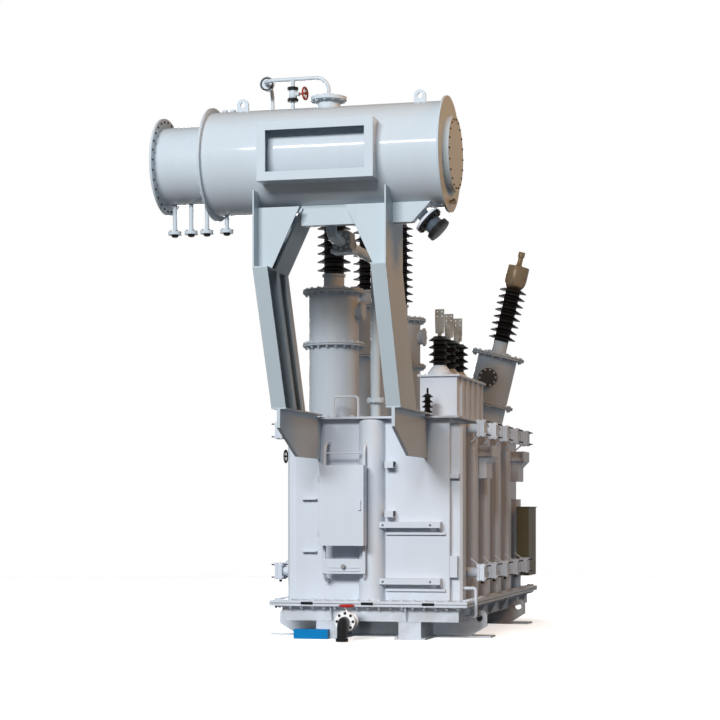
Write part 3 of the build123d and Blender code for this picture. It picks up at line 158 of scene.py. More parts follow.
def shade(colour, share):
    """The colour made darker or paler by a share."""
    return tuple(min(1.0, share * part) for part in colour[:3]) + (1.0,)


def new_finish(name, constants):
    """Material with one Principled shader whose plain sockets are set; gives a Wire and the shader."""
    made = bpy.data.materials.new(name)
    made.use_nodes = True
    tree = made.node_tree
    shader = tree.nodes["Principled BSDF"]
    for key, value in constants.items():
        shader.inputs[key].default_value = value
    return made, Wire(tree), shader


def feed(wire, shader, **links):
    """Links values that change over the surface into the shader's sockets."""
    for key, value in links.items():
        wire.tree.links.new(value.socket, shader.inputs[SOCKET_OF[key]])


def paint(name, colour, dusty, gloss=0.32, coat=0.0):
    """Sprayed paint: tone drift, rain streaks, dust on top faces, grime near the ground, orange peel and
    soft edges."""
    made, wire, shader = new_finish(
        name, {"IOR": PAINT_IOR, "Coat Weight": coat, "Coat Roughness": COAT_ROUGHNESS}
    )
    drift = wire.noise(scale=0.7, detail=3.0)
    streak = wire.noise(scale=3.0, detail=5.0, stretch=RAIN_STRETCH)
    cloud = wire.noise(scale=2.4, detail=6.0)
    up = wire.node("ShaderNodeNewGeometry", out="Normal").height()
    level = wire.node("ShaderNodeTexCoord", out="Object").height()
    dust = up.step(*DUST_FACING) * (0.25 + 0.6 * cloud)
    grime = (1.0 - level.step(*GRIME_LEVELS)) * cloud.step(0.35, 0.75) * 0.5
    speck = wire.noise(scale=55.0, detail=2.0).step(0.70, 0.78) * 0.35
    tone = (drift - 0.5) * 0.5 + (streak - 0.5) * 0.35 + 0.5
    base = tone.mix(shade(colour, DEEP_SHARE), shade(colour, PALE_SHARE))
    base = dust.mix(base, dusty)
    base = (grime + speck * grime).mix(base, rgb(126, 118, 106))
    rough = gloss + 0.16 * (cloud - 0.5) + 0.25 * dust + 0.2 * grime
    soft = wire.node("ShaderNodeBevel", {"samples": EDGE_SAMPLES}, {"Radius": SOFT_EDGE})
    peel = wire.noise(scale=160.0, detail=2.0).bump(strength=0.06, distance=0.002, normal=soft)
    feed(wire, shader, colour=base, roughness=rough, normal=peel)
    return made


def porcelain():
    """Dark brown glaze: pooled darker and lighter glaze, fine specks, wavy gloss under a clear coat."""
    made, wire, shader = new_finish("brown_glaze", {"Specular IOR Level": 0.3, "Coat Roughness": 0.05})
    pool = wire.noise(scale=6.0, detail=4.0)
    speck = wire.noise(scale=240.0, detail=2.0).step(0.66, 0.74)
    base = pool.mix(rgb(8, 6, 6), rgb(18, 12, 10))
    base = (speck * 0.4).mix(base, rgb(44, 32, 26))
    wavy = wire.noise(scale=18.0, detail=2.0).bump(strength=0.12, distance=0.003)
    feed(wire, shader, colour=base, roughness=0.24 + 0.16 * pool, coat=0.04 + 0.1 * pool, normal=wavy)
    return made


def bare_metal(name, colour, tarnish, metallic=0.85, rough=0.4):
    """Bare metal: tarnish clouds, fine brushed lines, duller where it has tarnished."""
    made, wire, shader = new_finish(name, {})
    brushed = wire.noise(scale=30.0, detail=3.0, stretch=BRUSHED_STRETCH)
    stain = wire.noise(scale=9.0, detail=6.0).step(0.42, 0.72)
    base = (0.75 * stain + 0.12 * brushed).mix(colour, tarnish)
    dull = rough + 0.22 * stain + 0.08 * brushed
    lines = brushed.bump(strength=0.08, distance=0.001)
    feed(wire, shader, colour=base, roughness=dull, metallic=metallic - 0.35 * stain, normal=lines)
    return made


def gloss_coat(name, colour, worn, rough=0.35):
    """Brushed-on gloss paint on a small fitting, scuffed lighter in patches."""
    made, wire, shader = new_finish(name, {"IOR": 1.5})
    cloud = wire.noise(scale=14.0, detail=5.0)
    scuff = wire.noise(scale=60.0, detail=4.0).step(0.58, 0.72)
    base = (0.35 * scuff + 0.25 * cloud.step(0.5, 0.8)).mix(colour, worn)
    uneven = cloud.bump(strength=0.15, distance=0.002)
    feed(wire, shader, colour=base, roughness=rough + 0.3 * scuff, normal=uneven)
    return made


def painted_wood():
    """Blue paint on timber: long grain in the bump, worn and dirty patches."""
    made, wire, shader = new_finish("blue_timber", {"IOR": 1.45})
    grain = wire.noise(scale=7.0, detail=6.0, stretch=GRAIN_STRETCH)
    wear = wire.noise(scale=10.0, detail=6.0).step(0.60, 0.80)
    base = grain.mix(rgb(8, 108, 168), rgb(14, 128, 192))
    base = (0.55 * wear).mix(base, rgb(96, 118, 128))
    raised = grain.bump(strength=0.35, distance=0.004)
    feed(wire, shader, colour=base, roughness=0.5 + 0.3 * wear, normal=raised)
    return made


TANK_PAINT = paint("tank_grey", rgb(208, 217, 229), rgb(198, 200, 202))
# The drum, support and turret paints are darker copies of the tank's grey: painted shade for how light falls on
# the drum, legs, brackets and turrets.
DRUM_PAINT_SHADED = paint("drum_grey_shaded_copy", rgb(196, 208, 219), rgb(190, 195, 198), gloss=0.36, coat=1.0)
SUPPORT_PAINT_SHADED = paint("support_grey_shaded_copy", rgb(188, 202, 212), rgb(184, 190, 194))
TURRET_PAINT_SHADED = paint("turret_grey_shaded_copy", rgb(188, 199, 209), rgb(180, 184, 186))
# The rear cabinet's dark olive-brown is painted shade: the tank's grey made dark because the cabinet stands in
# shade.
REAR_PAINT_SHADED = paint("rear_cabinet_painted_shade", rgb(106, 100, 78), rgb(120, 114, 98), gloss=0.45)
PORCELAIN = porcelain()
ALUMINIUM = bare_metal("dull_aluminium", rgb(186, 184, 176), rgb(134, 128, 116))
# The flags' aluminium is paler than the other aluminium: painted light where the flags lie in the drum's shadow.
FLAG_METAL_LIT = bare_metal("flag_aluminium_painted_light", rgb(236, 231, 221), rgb(204, 196, 182))
BRASS = bare_metal("dull_brass", rgb(176, 154, 126), rgb(120, 100, 80), metallic=0.92, rough=0.31)
RED = gloss_coat("red_wheel", rgb(176, 30, 26), rgb(206, 92, 80))
BLACK = gloss_coat("black_fittings", rgb(22, 23, 26), rgb(62, 62, 64))
TIMBER = painted_wood()
CAST = gloss_coat("relay_cast", rgb(150, 152, 150), rgb(178, 178, 172), rough=0.5)
# Near-black for real dark gaskets and joint lines, and for boxes that are painted shade in slots and tube
# mouths.
DARK_JOINT_AND_SHADE = gloss_coat("dark_joint_and_painted_shade", rgb(24, 27, 30), rgb(40, 43, 46), rough=0.7)
VALVE_WHITE = gloss_coat("drain_valve_white", rgb(238, 240, 244), rgb(206, 208, 210))
BOLT_PAINT = gloss_coat("bolt_paint", rgb(200, 209, 221), rgb(170, 174, 178), rough=0.42)
DARK_STEEL = gloss_coat("dark_steel", rgb(44, 42, 40), rgb(84, 78, 70), rough=0.45)
# Dark grey for the neutral turret's hatch, and painted shade on the breather pipe's joint ring.
HATCH_AND_SHADE = gloss_coat("dark_hatch_and_painted_shade", rgb(70, 72, 70), rgb(96, 94, 88), rough=0.5)
# Dark blue-grey for the gauge's barrel and glass: a dark part with a painted blue-grey sheen.
BARREL_WITH_SHEEN = gloss_coat("gauge_barrel_painted_sheen", rgb(74, 86, 98), rgb(104, 116, 128), rough=0.2)
RUST_RED = gloss_coat("rust_red", rgb(150, 62, 40), rgb(120, 84, 66), rough=0.5)

# Nodes with a finish of their own; all others have the tank's paint
NODES_OF = (
    (DRUM_PAINT_SHADED, ("conservator_shell", "conservator_left_end", "conservator_lugs", "tap_drum_shell",
                  "tap_drum_end", "sign_frame", "breather_pipe", "drop_pipes")),
    (SUPPORT_PAINT_SHADED, ("saddle_beam", "upper_brackets", "legs", "leg_gussets", "oil_riser",
                     "conservator_right_end", "manhole_cover")),
    (TURRET_PAINT_SHADED, ("hv_turret_front", "hv_turret_middle", "hv_turret_rear", "hv_collars",
                    "neutral_turret", "neutral_collar")),
    (PORCELAIN, ("hv_porcelain_front", "hv_porcelain_middle", "hv_porcelain_rear",
                 "neutral_porcelain", "lv_porcelain", "earthing_bushing")),
    (REAR_PAINT_SHADED, ("rear_cabinet",)),
    (ALUMINIUM, ("hv_terminals",)),
    (FLAG_METAL_LIT, ("lv_terminals",)),
    (BRASS, ("neutral_terminal",)),
    (RED, ("drain_handwheel",)),
    (VALVE_WHITE, ("drain_valve",)),
    (BLACK, ("drain_spout", "level_gauge")),
    (TIMBER, ("chock",)),
    (CAST, ("gas_relay",)),
)
FINISH_OF = {node_name: finish for finish, names in NODES_OF for node_name in names}
for node_name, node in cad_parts.items():
    node.data.materials.clear()
    node.data.materials.append(FINISH_OF.get(node_name, TANK_PAINT))


# Places that the pieces share with the solids, metres
FRONT_Y = -2.3
WALL_X = 0.9
STIFFENER_Y = (-2.1, -1.32, -0.54, 0.24, 1.02)
SHELF_Z = (1.33, 0.69)
CLIP_Z = (1.94, 1.38)
VALVE_Y = tuple(-1.74 + 0.78 * i for i in range(5))
VALVE_Z = (0.745, 2.405)
DRAIN_X, DRAIN_Z = -0.165, 0.222
TURRET_X = -0.61
TURRET_Y = (-1.7, 0.0, 1.7)
NEUTRAL_AT = np.array([0.59, 1.73, 2.89])
NEUTRAL_TILT = math.radians(13.5)
NEUTRAL_HEAD = 1.58
LV_X = 0.62
LV_Y = (-1.5, -0.95, -0.4)
LV_TOP = 3.035
DRUM_Y = -4.1
DRUM_Z = 5.133
DRUM_RADIUS = 0.545
MANWAY_X = -0.03
PIPE_Z = 6.0
RISER_X, RISER_Y = -0.02, -2.05
RELAY_Z = 4.34
DROP_X = (-1.733, -1.549, -1.372, -1.15)
BYPASS_TURN = math.radians(80.0)

UP = (0.0, 0.0, 1.0)
DOWN = (0.0, 0.0, -1.0)
AHEAD = (0.0, -1.0, 0.0)
BACK = (0.0, 1.0, 0.0)
RIGHT = (1.0, 0.0, 0.0)
LEFT = (-1.0, 0.0, 0.0)

FULL_TURN = 2 * np.pi
SKEW = (0.31, 0.52, 0.79)
SHARP_ANGLE = math.radians(35.0)
LINE_HALF = 0.002


def surface(rings, loop=False):
    """Closed skin through rings of points: each ring is joined to the next by quads, and the first and last
    ring are closed by flat caps, or joined to each other if the rings make a loop."""
    rows, around = rings.shape[:2]
    here = np.arange(rows * around).reshape(rows, around)
    beside = np.roll(here, -1, 1)
    if loop:
        quads = np.stack([here, beside, np.roll(beside, -1, 0), np.roll(here, -1, 0)], -1)
    else:
        quads = np.stack([here[:-1], beside[:-1], beside[1:], here[1:]], -1)
    loops = quads.reshape(-1)
    sizes = np.full(len(loops) // 4, 4)
    if not loop:
        loops = np.concatenate([loops, here[0, ::-1], here[-1]])
        sizes = np.concatenate([sizes, [around, around]])
    return rings.reshape(-1, 3).astype(float), loops, sizes


def turned(profile, around):
    """Profile of (radius, height) pairs carried round the Z axis:
    x = radius cos a, y = radius sin a, z = height."""
    radius, height = np.array(profile, float).T
    angle = np.linspace(0.0, FULL_TURN, around, endpoint=False)
    rings = np.stack(np.broadcast_arrays(
        radius[:, None] * np.cos(angle), radius[:, None] * np.sin(angle), height[:, None]), -1)
    return surface(rings)


def facing_out(shape):
    """The same skin with its faces turned outwards: the sum of the cone volumes under the faces is made
    positive."""
    points, loops, sizes = shape
    starts = np.concatenate([[0], np.cumsum(sizes)[:-1]])
    first = np.repeat(starts, sizes)
    place = np.arange(len(loops)) - first
    inner = (place > 0) & (place < np.repeat(sizes, sizes) - 1)
    spot = np.nonzero(inner)[0]
    a, b, c = points[loops[first[spot]]], points[loops[spot]], points[loops[spot + 1]]
    if np.einsum("ij,ij->", a, np.cross(b, c)) < 0:
        last = np.repeat(starts + sizes - 1, sizes)
        loops = loops[last - place]
    return points, loops, sizes


def hoop(radius, thick, around=40, section=10):
    """Ring round the Z axis: the distance from the axis is radius + thick cos b, the height is thick sin b."""
    angle = np.linspace(0.0, FULL_TURN, around, endpoint=False)[:, None]
    turn = np.linspace(0.0, FULL_TURN, section, endpoint=False)[None, :]
    reach = radius + thick * np.cos(turn)
    rings = np.stack(np.broadcast_arrays(
        reach * np.cos(angle), reach * np.sin(angle), thick * np.sin(turn)), -1)
    return facing_out(surface(rings, loop=True))


def about(middle, half):
    """Low and high value at an equal distance from the middle."""
    return middle - half, middle + half


def box(x, y, z):
    """Box between three pairs of low and high values, as two rings of four corners."""
    ring = np.array([[x[0], y[0]], [x[1], y[0]], [x[1], y[1]], [x[0], y[1]]], float)
    rings = np.stack([np.column_stack([ring, np.full(4, level)]) for level in z])
    return surface(rings)


def pipe(points, radius, bend, steps=6, around=14):
    """Circle carried along a path: straight runs, each corner rounded by the quadratic curve
    (1-t)^2 A + 2t(1-t) B + t^2 C with A and C at the bend's distance from the corner B."""
    points = np.array(points, float)
    path = [points[:1]]
    t = np.linspace(0.0, 1.0, steps)[:, None]
    for before, corner, after in zip(points[:-2], points[1:-1], points[2:]):
        a = corner + bend * (before - corner) / np.linalg.norm(before - corner)
        c = corner + bend * (after - corner) / np.linalg.norm(after - corner)
        path.append((1 - t) ** 2 * a + 2 * t * (1 - t) * corner + t ** 2 * c)
    path = np.concatenate(path + [points[-1:]])
    run = np.gradient(path, axis=0)
    run /= np.linalg.norm(run, axis=1, keepdims=True)
    normal = np.cross(run[0], SKEW)
    side = np.cross(run, normal / np.linalg.norm(normal))
    side /= np.linalg.norm(side, axis=1, keepdims=True)
    other = np.cross(run, side)
    angle = np.linspace(0.0, FULL_TURN, around, endpoint=False)[None, :, None]
    rings = path[:, None] + radius * (np.cos(angle) * side[:, None] + np.sin(angle) * other[:, None])
    return facing_out(surface(rings))


def stamp(shape, places, axes):
    """Copies of a shape, one at each place with its Z axis along the place's axis:
    point = place + x u + y v + z w, where w is the axis and u and v are square to it."""
    points, loops, sizes = shape
    places = np.atleast_2d(np.array(places, float))
    w = np.broadcast_to(np.array(axes, float), places.shape)
    w = w / np.linalg.norm(w, axis=1, keepdims=True)
    helper = np.where(np.abs(w[:, 2:]) > 0.9, np.array([RIGHT]), np.array([UP]))
    u = np.cross(helper, w)
    u /= np.linalg.norm(u, axis=1, keepdims=True)
    v = np.cross(w, u)
    moved = places[:, None] + np.einsum("pk,nkd->npd", points, np.stack([u, v, w], 1))
    count = len(places)
    all_loops = (loops[None, :] + len(points) * np.arange(count)[:, None]).reshape(-1)
    return moved.reshape(-1, 3), all_loops, np.tile(sizes, count)


def joined(*shapes):
    """Several skins as one."""
    offsets = np.cumsum([0] + [len(shape[0]) for shape in shapes[:-1]])
    return (
        np.concatenate([shape[0] for shape in shapes]),
        np.concatenate([shape[1] + offset for shape, offset in zip(shapes, offsets)]),
        np.concatenate([shape[2] for shape in shapes]),
    )


def ring_places(centre, axis, radius, count, phase):
    """Points on a circle about a centre, square to an axis."""
    angle = phase + np.linspace(0.0, FULL_TURN, count, endpoint=False)
    flat = np.stack([radius * np.cos(angle), radius * np.sin(angle), 0 * angle], -1)
    none = np.zeros(0, int)
    return stamp((flat, none, none), [centre], [axis])[0]


def row(start, end, pitch):
    """Evenly spaced points from start to end, about one pitch apart."""
    start, end = np.array(start, float), np.array(end, float)
    count = max(2, round(float(np.linalg.norm(end - start)) / pitch) + 1)
    share = np.linspace(0.0, 1.0, count)[:, None]
    return (1 - share) * start + share * end


def bolt(size, stud=0.0):
    """Hexagon head with a bevelled top on a round washer; a stud end stands out of it if asked for."""
    washer = turned([(1.3 * size, -0.002), (1.3 * size, 0.2 * size)], around=12)
    head = turned([(size, 0.1 * size), (size, 0.85 * size), (0.85 * size, size)], around=6)
    if not stud:
        return joined(washer, head)
    end = turned([(0.5 * size, 0.5 * size), (0.5 * size, stud), (0.4 * size, stud + 0.003)], around=8)
    return joined(washer, head, end)


def bolt_ring(shape, centre, axis, radius, count, way=None, phase=0.0):
    """Bolts on a circle about a centre, square to an axis; they point along the axis or another way."""
    return stamp(shape, ring_places(centre, axis, radius, count, phase), axis if way is None else way)


def joint_line(centre, axis, radius):
    """Thin disc whose rim shows as a dark line between two flanges."""
    return stamp(turned([(radius, -LINE_HALF), (radius, LINE_HALF)], around=64), [centre], axis)


def piece(name, shape, finish):
    """Mesh object from a skin, smooth with sharp edges above an angle; it rides on the transformer."""
    points, loops, sizes = shape
    data = bpy.data.meshes.new(name)
    data.vertices.add(len(points))
    data.vertices.foreach_set("co", points.astype(np.float32).reshape(-1))
    data.loops.add(len(loops))
    data.loops.foreach_set("vertex_index", loops.astype(np.int32))
    data.polygons.add(len(sizes))
    starts = np.concatenate([[0], np.cumsum(sizes)[:-1]])
    data.polygons.foreach_set("loop_start", starts.astype(np.int32))
    data.update(calc_edges=True)
    data.polygons.foreach_set("use_smooth", np.ones(len(sizes), bool))
    data.set_sharp_from_angle(angle=SHARP_ANGLE)
    data.materials.append(finish)
    made = bpy.data.objects.new(name, data)
    bpy.context.scene.collection.objects.link(made)
    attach(made, "transformer")
    return made


def flange_pieces():
    """Bolts, gasket and notch shades of the flange that joins the tank to its tray: the dark boxes in the slots
    are painted shade.
    """
    pitch = 0.13
    edge_x, end_x, edge_y, end_y = 1.10, 1.04, 2.50, 2.44
    head_z, nut_z = 0.434, 0.37
    rows = [row((-end_x, y, 0), (end_x, y, 0), pitch) for y in (-edge_y, edge_y)]
    rows += [row((x, -end_y, 0), (x, end_y, 0), pitch) for x in (-edge_x, edge_x)]
    spots = np.concatenate(rows)
    heads = stamp(bolt(size=0.021), spots + (0, 0, head_z), UP)
    nuts = stamp(bolt(size=0.021, stud=0.032), spots + (0, 0, nut_z), DOWN)
    piece("flange_bolts", joined(heads, nuts), BOLT_PAINT)
    gasket = box(x=about(0.0, 1.1512), y=about(0.0, 2.5512), z=(0.399, 0.405))
    piece("flange_gasket", gasket, DARK_JOINT_AND_SHADE)
    # Dark boxes in the flange's slots: painted shade where the slots are recessed.
    notch_shades = [box(x=about(x, 0.07), y=(-2.5525, -2.54), z=(0.388, 0.42)) for x in (-0.705, 0.0, 0.705)]
    piece("flange_notch_shade", joined(*notch_shades), DARK_JOINT_AND_SHADE)


def wall_pieces():
    """Strap, blocks, bars and weld seams on the tank's walls, the cabinet plate's knob and slats, dark boxes
    painted as shade in the clips' mouths, and the handwheel on the left wall."""
    strap_y, inner_x, outer_x, high, low = -2.14, 1.02, 1.172, 0.575, 0.245
    strap = [(inner_x, strap_y, high), (outer_x, strap_y, high),
             (outer_x, strap_y, low), (inner_x, strap_y, low)]
    piece("earthing_strap", pipe(strap, radius=0.019, bend=0.035), BOLT_PAINT)
    upper = box(x=(0.89, 1.0), y=(-2.285, -2.215), z=(1.82, 1.868))
    lower = box(x=(0.89, 0.985), y=(-2.29, -2.215), z=(0.70, 0.945))
    piece("corner_blocks", joined(upper, lower), TANK_PAINT)
    bars = [box(x=(0.165, 0.855), y=(-2.332, -2.295), z=(z - 0.148, z - 0.122)) for z in SHELF_Z]
    piece("shelf_bars", joined(*bars), TANK_PAINT)

    foot, proud = 0.436, 0.001
    end_seam = turned([(0.007, foot), (0.007, 2.46)], around=8)
    side_seam = turned([(0.006, foot), (0.006, 2.438)], around=8)
    ends = [(x, y, 0) for x in (-0.151, 0.151) for y in (FRONT_Y - proud, -FRONT_Y + proud)]
    sides = [(x, y + side, 0) for x in (-WALL_X - proud, WALL_X + proud)
             for y in STIFFENER_Y for side in (-0.121, 0.121)]
    seams = joined(stamp(end_seam, ends, UP), stamp(side_seam, sides, UP))
    piece("weld_seams", seams, BOLT_PAINT)

    knob = turned([(0.012, -0.002), (0.012, 0.02), (0.026, 0.024), (0.026, 0.04), (0.02, 0.045)], around=16)
    piece("plate_knob", stamp(knob, [(-0.277, -2.527, 0.825)], AHEAD), CAST)
    slats = [box(x=(-0.45, -0.09), y=(-2.536, -2.524), z=(z, z + 0.009)) for z in (0.806, 0.77)]
    piece("plate_slats", joined(*slats), TANK_PAINT)
    # Dark boxes at the clips' open ends: painted shade inside the square tubes.
    mouth_shades = [box(x=(0.18, 0.268), y=(-2.4212, -2.3088), z=(z + 0.0088, z + 0.0672)) for z in CLIP_Z]
    piece("clip_mouth_shade", joined(*mouth_shades), DARK_JOINT_AND_SHADE)

    wheel_x, wheel_y, wheel_z = -1.19, -1.74, 2.1
    hub = (wheel_x, wheel_y, wheel_z)
    rim = stamp(hoop(radius=0.075, thick=0.0085), [hub], LEFT)
    spokes = stamp(turned([(0.006, -0.074), (0.006, 0.074)], around=8), [hub] * 2, [UP, BACK])
    stem = turned([(0.036, -0.01), (0.036, 0.09), (0.018, 0.1), (0.012, 0.11), (0.012, 0.30)], around=14)
    stem = stamp(stem, [(-WALL_X, wheel_y, wheel_z)], LEFT)
    piece("wall_handwheel", joined(rim, spokes, stem), BLACK)


def valve_pieces():
    """Studs with nuts through each radiator valve's corners, and a plug under each low valve."""
    nut = bolt(size=0.016)
    rod = turned([(0.007, -0.115), (0.008, -0.11), (0.008, 0.042), (0.006, 0.046)], around=8)
    plug = turned([(0.013, -0.004), (0.013, 0.016), (0.02, 0.018), (0.02, 0.036), (0.016, 0.04)], around=8)
    corner, plug_reach, plug_drop = 0.075, 0.043, 0.092
    corners = [(y + dy, z + dz) for z in VALVE_Z for y in VALVE_Y
               for dy in (-corner, corner) for dz in (-corner, corner)]
    studs, nuts = [], []
    for way, inner, face in ((1, 1.128, 1.214), (-1, 1.21, 1.296)):
        outer = [(way * face, y, z) for y, z in corners]
        behind = [(way * inner, y, z) for y, z in corners]
        nuts.append(stamp(nut, outer, (way, 0, 0)))
        nuts.append(stamp(nut, behind, (-way, 0, 0)))
        studs.append(stamp(rod, outer, (way, 0, 0)))
        plugs = [(way * (inner + plug_reach), y, VALVE_Z[0] - plug_drop) for y in VALVE_Y]
        studs.append(stamp(plug, plugs, DOWN))
    piece("valve_nuts", joined(*nuts), BOLT_PAINT)
    piece("valve_studs", joined(*studs), DARK_STEEL)


def turret_pieces():
    """Bolts of the turrets' flanges, hand-hole covers and low voltage box, dark joint lines, the neutral
    turret's hatch, and the neutral cap with a flat top, a round foot and a rod."""
    head, nut = bolt(size=0.018), bolt(size=0.018, stud=0.028)
    cover_bolt, lip_bolt, collar_bolt = bolt(size=0.011), bolt(size=0.012), bolt(size=0.013)
    heads, lines = [], []

    flanges = ((2.545, UP, nut), (3.425, UP, head), (3.385, DOWN, nut), (4.05, UP, head), (4.01, DOWN, nut))
    joint_z, cover_x, cover_z, collar_z = (3.405, 4.03), -0.245, 3.8, 4.078
    for y in TURRET_Y:
        for z, way, shape in flanges:
            heads.append(bolt_ring(shape, (TURRET_X, y, z), UP, radius=0.333, count=20, way=way))
        lines += [joint_line((TURRET_X, y, z), UP, radius=0.3712) for z in joint_z]
        heads.append(bolt_ring(cover_bolt, (cover_x, y, cover_z), RIGHT, radius=0.104, count=8))
        heads.append(bolt_ring(collar_bolt, (TURRET_X, y, collar_z), UP, radius=0.162, count=12))

    tilt = np.array([math.sin(NEUTRAL_TILT), 0.0, math.cos(NEUTRAL_TILT)])
    rings = ((0.02, 0.316, tilt, head), (-0.02, 0.316, -tilt, nut), (0.637, 0.316, -tilt, nut),
             (0.677, 0.316, tilt, head), (0.705, 0.128, tilt, cover_bolt))
    for along, radius, way, shape in rings:
        heads.append(bolt_ring(shape, NEUTRAL_AT + along * tilt, tilt, radius, count=18, way=way))
    lines += [joint_line(NEUTRAL_AT + along * tilt, tilt, radius=0.3612) for along in (0.0, 0.657)]
    hatch_along, hatch_ahead = 0.3385, 0.335
    hatch = NEUTRAL_AT + hatch_along * tilt + (0, -hatch_ahead, 0)
    heads.append(bolt_ring(cover_bolt, hatch, AHEAD, radius=0.106, count=10))

    pitch = 0.105
    lip = [row((x, -1.745, LV_TOP), (x, -0.055, LV_TOP), pitch) for x in (0.424, 0.888)]
    lip += [row((0.5, y, LV_TOP), (0.81, y, LV_TOP), pitch) for y in (-1.746, -0.054)]
    heads.append(stamp(lip_bolt, np.concatenate(lip), UP))
    heads += [bolt_ring(lip_bolt, (LV_X, y, LV_TOP), UP, radius=0.158, count=8) for y in LV_Y]

    piece("turret_bolts", joined(*heads), BOLT_PAINT)
    piece("turret_joints", joined(*lines), DARK_JOINT_AND_SHADE)
    cover = turned([(0.1255, -0.0215), (0.1255, 0.0005), (0.12, 0.0015)], around=40)
    piece("neutral_hatch", stamp(cover, [hatch], AHEAD), HATCH_AND_SHADE)
    cap = turned([(0.101, 0.0), (0.116, 0.014), (0.132, 0.04), (0.143, 0.075), (0.148, 0.12), (0.148, 0.283),
                  (0.142, 0.294), (0.056, 0.3), (0.04, 0.312), (0.036, 0.33), (0.036, 0.42), (0.046, 0.424),
                  (0.046, 0.48), (0.041, 0.49)], around=48)
    cap = stamp(cap, [NEUTRAL_AT + NEUTRAL_HEAD * tilt], tilt)
    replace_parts(piece("neutral_cap", cap, BRASS), "neutral_terminal")


def conservator_pieces():
    """Bolts of the manhole, drum flanges, pipes and drain valve, blanks under the drop pipes, and plugs on
    the drum."""
    small, collar_bolt, tiny = bolt(size=0.012), bolt(size=0.013), bolt(size=0.010)
    heads = [
        bolt_ring(small, (-1.284, DRUM_Y, DRUM_Z), LEFT, radius=0.572, count=36),
        bolt_ring(bolt(size=0.014), (-1.839, DRUM_Y, DRUM_Z), LEFT, radius=0.462, count=28),
        bolt_ring(collar_bolt, (MANWAY_X, DRUM_Y, 5.784), UP, radius=0.164, count=12),
        bolt_ring(collar_bolt, (MANWAY_X, DRUM_Y, 5.748), UP, radius=0.164, count=12, way=DOWN),
        bolt_ring(small, (RISER_X, RISER_Y, 2.748), UP, radius=0.084, count=8),
        bolt_ring(small, (RISER_X, RISER_Y, 2.70), UP, radius=0.084, count=8, way=DOWN),
        bolt_ring(small, (RISER_X, -3.63, RELAY_Z), AHEAD, radius=0.083, count=8),
        bolt_ring(small, (RISER_X, -3.37, RELAY_Z), BACK, radius=0.083, count=8),
    ]
    piece("conservator_bolts", joined(*heads), BOLT_PAINT)

    drop_end, drop_flange, eighth_turn = 4.404, 4.44, 0.785
    drop_bolt = bolt(size=0.011)
    blank = turned([(0.03, -0.002), (0.038, 0.003), (0.038, 0.012), (0.03, 0.022), (0.02, 0.026)], around=16)
    dark = [
        bolt_ring(tiny, (-1.815, DRUM_Y, DRUM_Z), RIGHT, radius=0.474, count=28),
        bolt_ring(tiny, (1.329, DRUM_Y, DRUM_Z), RIGHT, radius=0.352, count=20),
        bolt_ring(collar_bolt, (DRAIN_X, -2.904, DRAIN_Z), AHEAD, radius=0.092, count=8),
        bolt_ring(collar_bolt, (DRAIN_X, -2.736, DRAIN_Z), BACK, radius=0.092, count=8),
        stamp(blank, [(x, DRUM_Y, drop_end) for x in DROP_X], DOWN),
    ]
    dark += [bolt_ring(drop_bolt, (x, DRUM_Y, drop_flange), UP, radius=0.052, count=4, phase=eighth_turn)
             for x in DROP_X]
    piece("dark_nuts", joined(*dark), DARK_STEEL)

    plug = turned([(0.022, -0.004), (0.022, 0.03), (0.034, 0.032), (0.034, 0.056), (0.028, 0.062)], around=6)
    piece("drain_plug", stamp(plug, [(1.264, DRUM_Y, DRUM_Z - 0.49)], RIGHT), BRASS)
    vent = turned([(0.024, -0.01), (0.024, 0.014), (0.03, 0.016), (0.03, 0.03), (0.024, 0.036)], around=12)
    vent_at = [(x, DRUM_Y, DRUM_Z + 0.543) for x in (-1.17, -1.08)]
    piece("vent_plugs", stamp(vent, vent_at, UP), BOLT_PAINT)


def gauge_pieces():
    """Painted ring and neck, nuts, and the barrel and glass of the oil gauge under the drum, dark with a painted
    blue-grey sheen.
    """
    lean = np.array([0.72, 0.0, -0.69]) / np.hypot(0.72, 0.69)
    ahead = 0.02
    seat = np.array([0.908, DRUM_Y - ahead, DRUM_Z - math.sqrt(DRUM_RADIUS ** 2 - ahead ** 2)])
    ring = turned([(0.1, 0.1638), (0.1533, 0.1638), (0.1533, 0.190), (0.1, 0.190)], around=48)
    neck = turned([(0.0632, 0.02), (0.0632, 0.164)], around=32)
    barrel = turned([(0.0962, 0.214), (0.0962, 0.307)], around=40)
    glass = turned([(0.11, 0.35), (0.108, 0.360), (0.09, 0.364)], around=40)
    piece("gauge_ring", stamp(ring, [seat], lean), TANK_PAINT)
    piece("gauge_neck", stamp(neck, [seat], lean), TANK_PAINT)
    piece("gauge_barrel", stamp(barrel, [seat], lean), BARREL_WITH_SHEEN)
    piece("gauge_glass", stamp(glass, [seat], lean), BARREL_WITH_SHEEN)
    nuts = bolt_ring(bolt(size=0.013), seat + 0.213 * lean, lean, radius=0.128, count=8, phase=0.3)
    piece("gauge_nuts", nuts, DARK_STEEL)


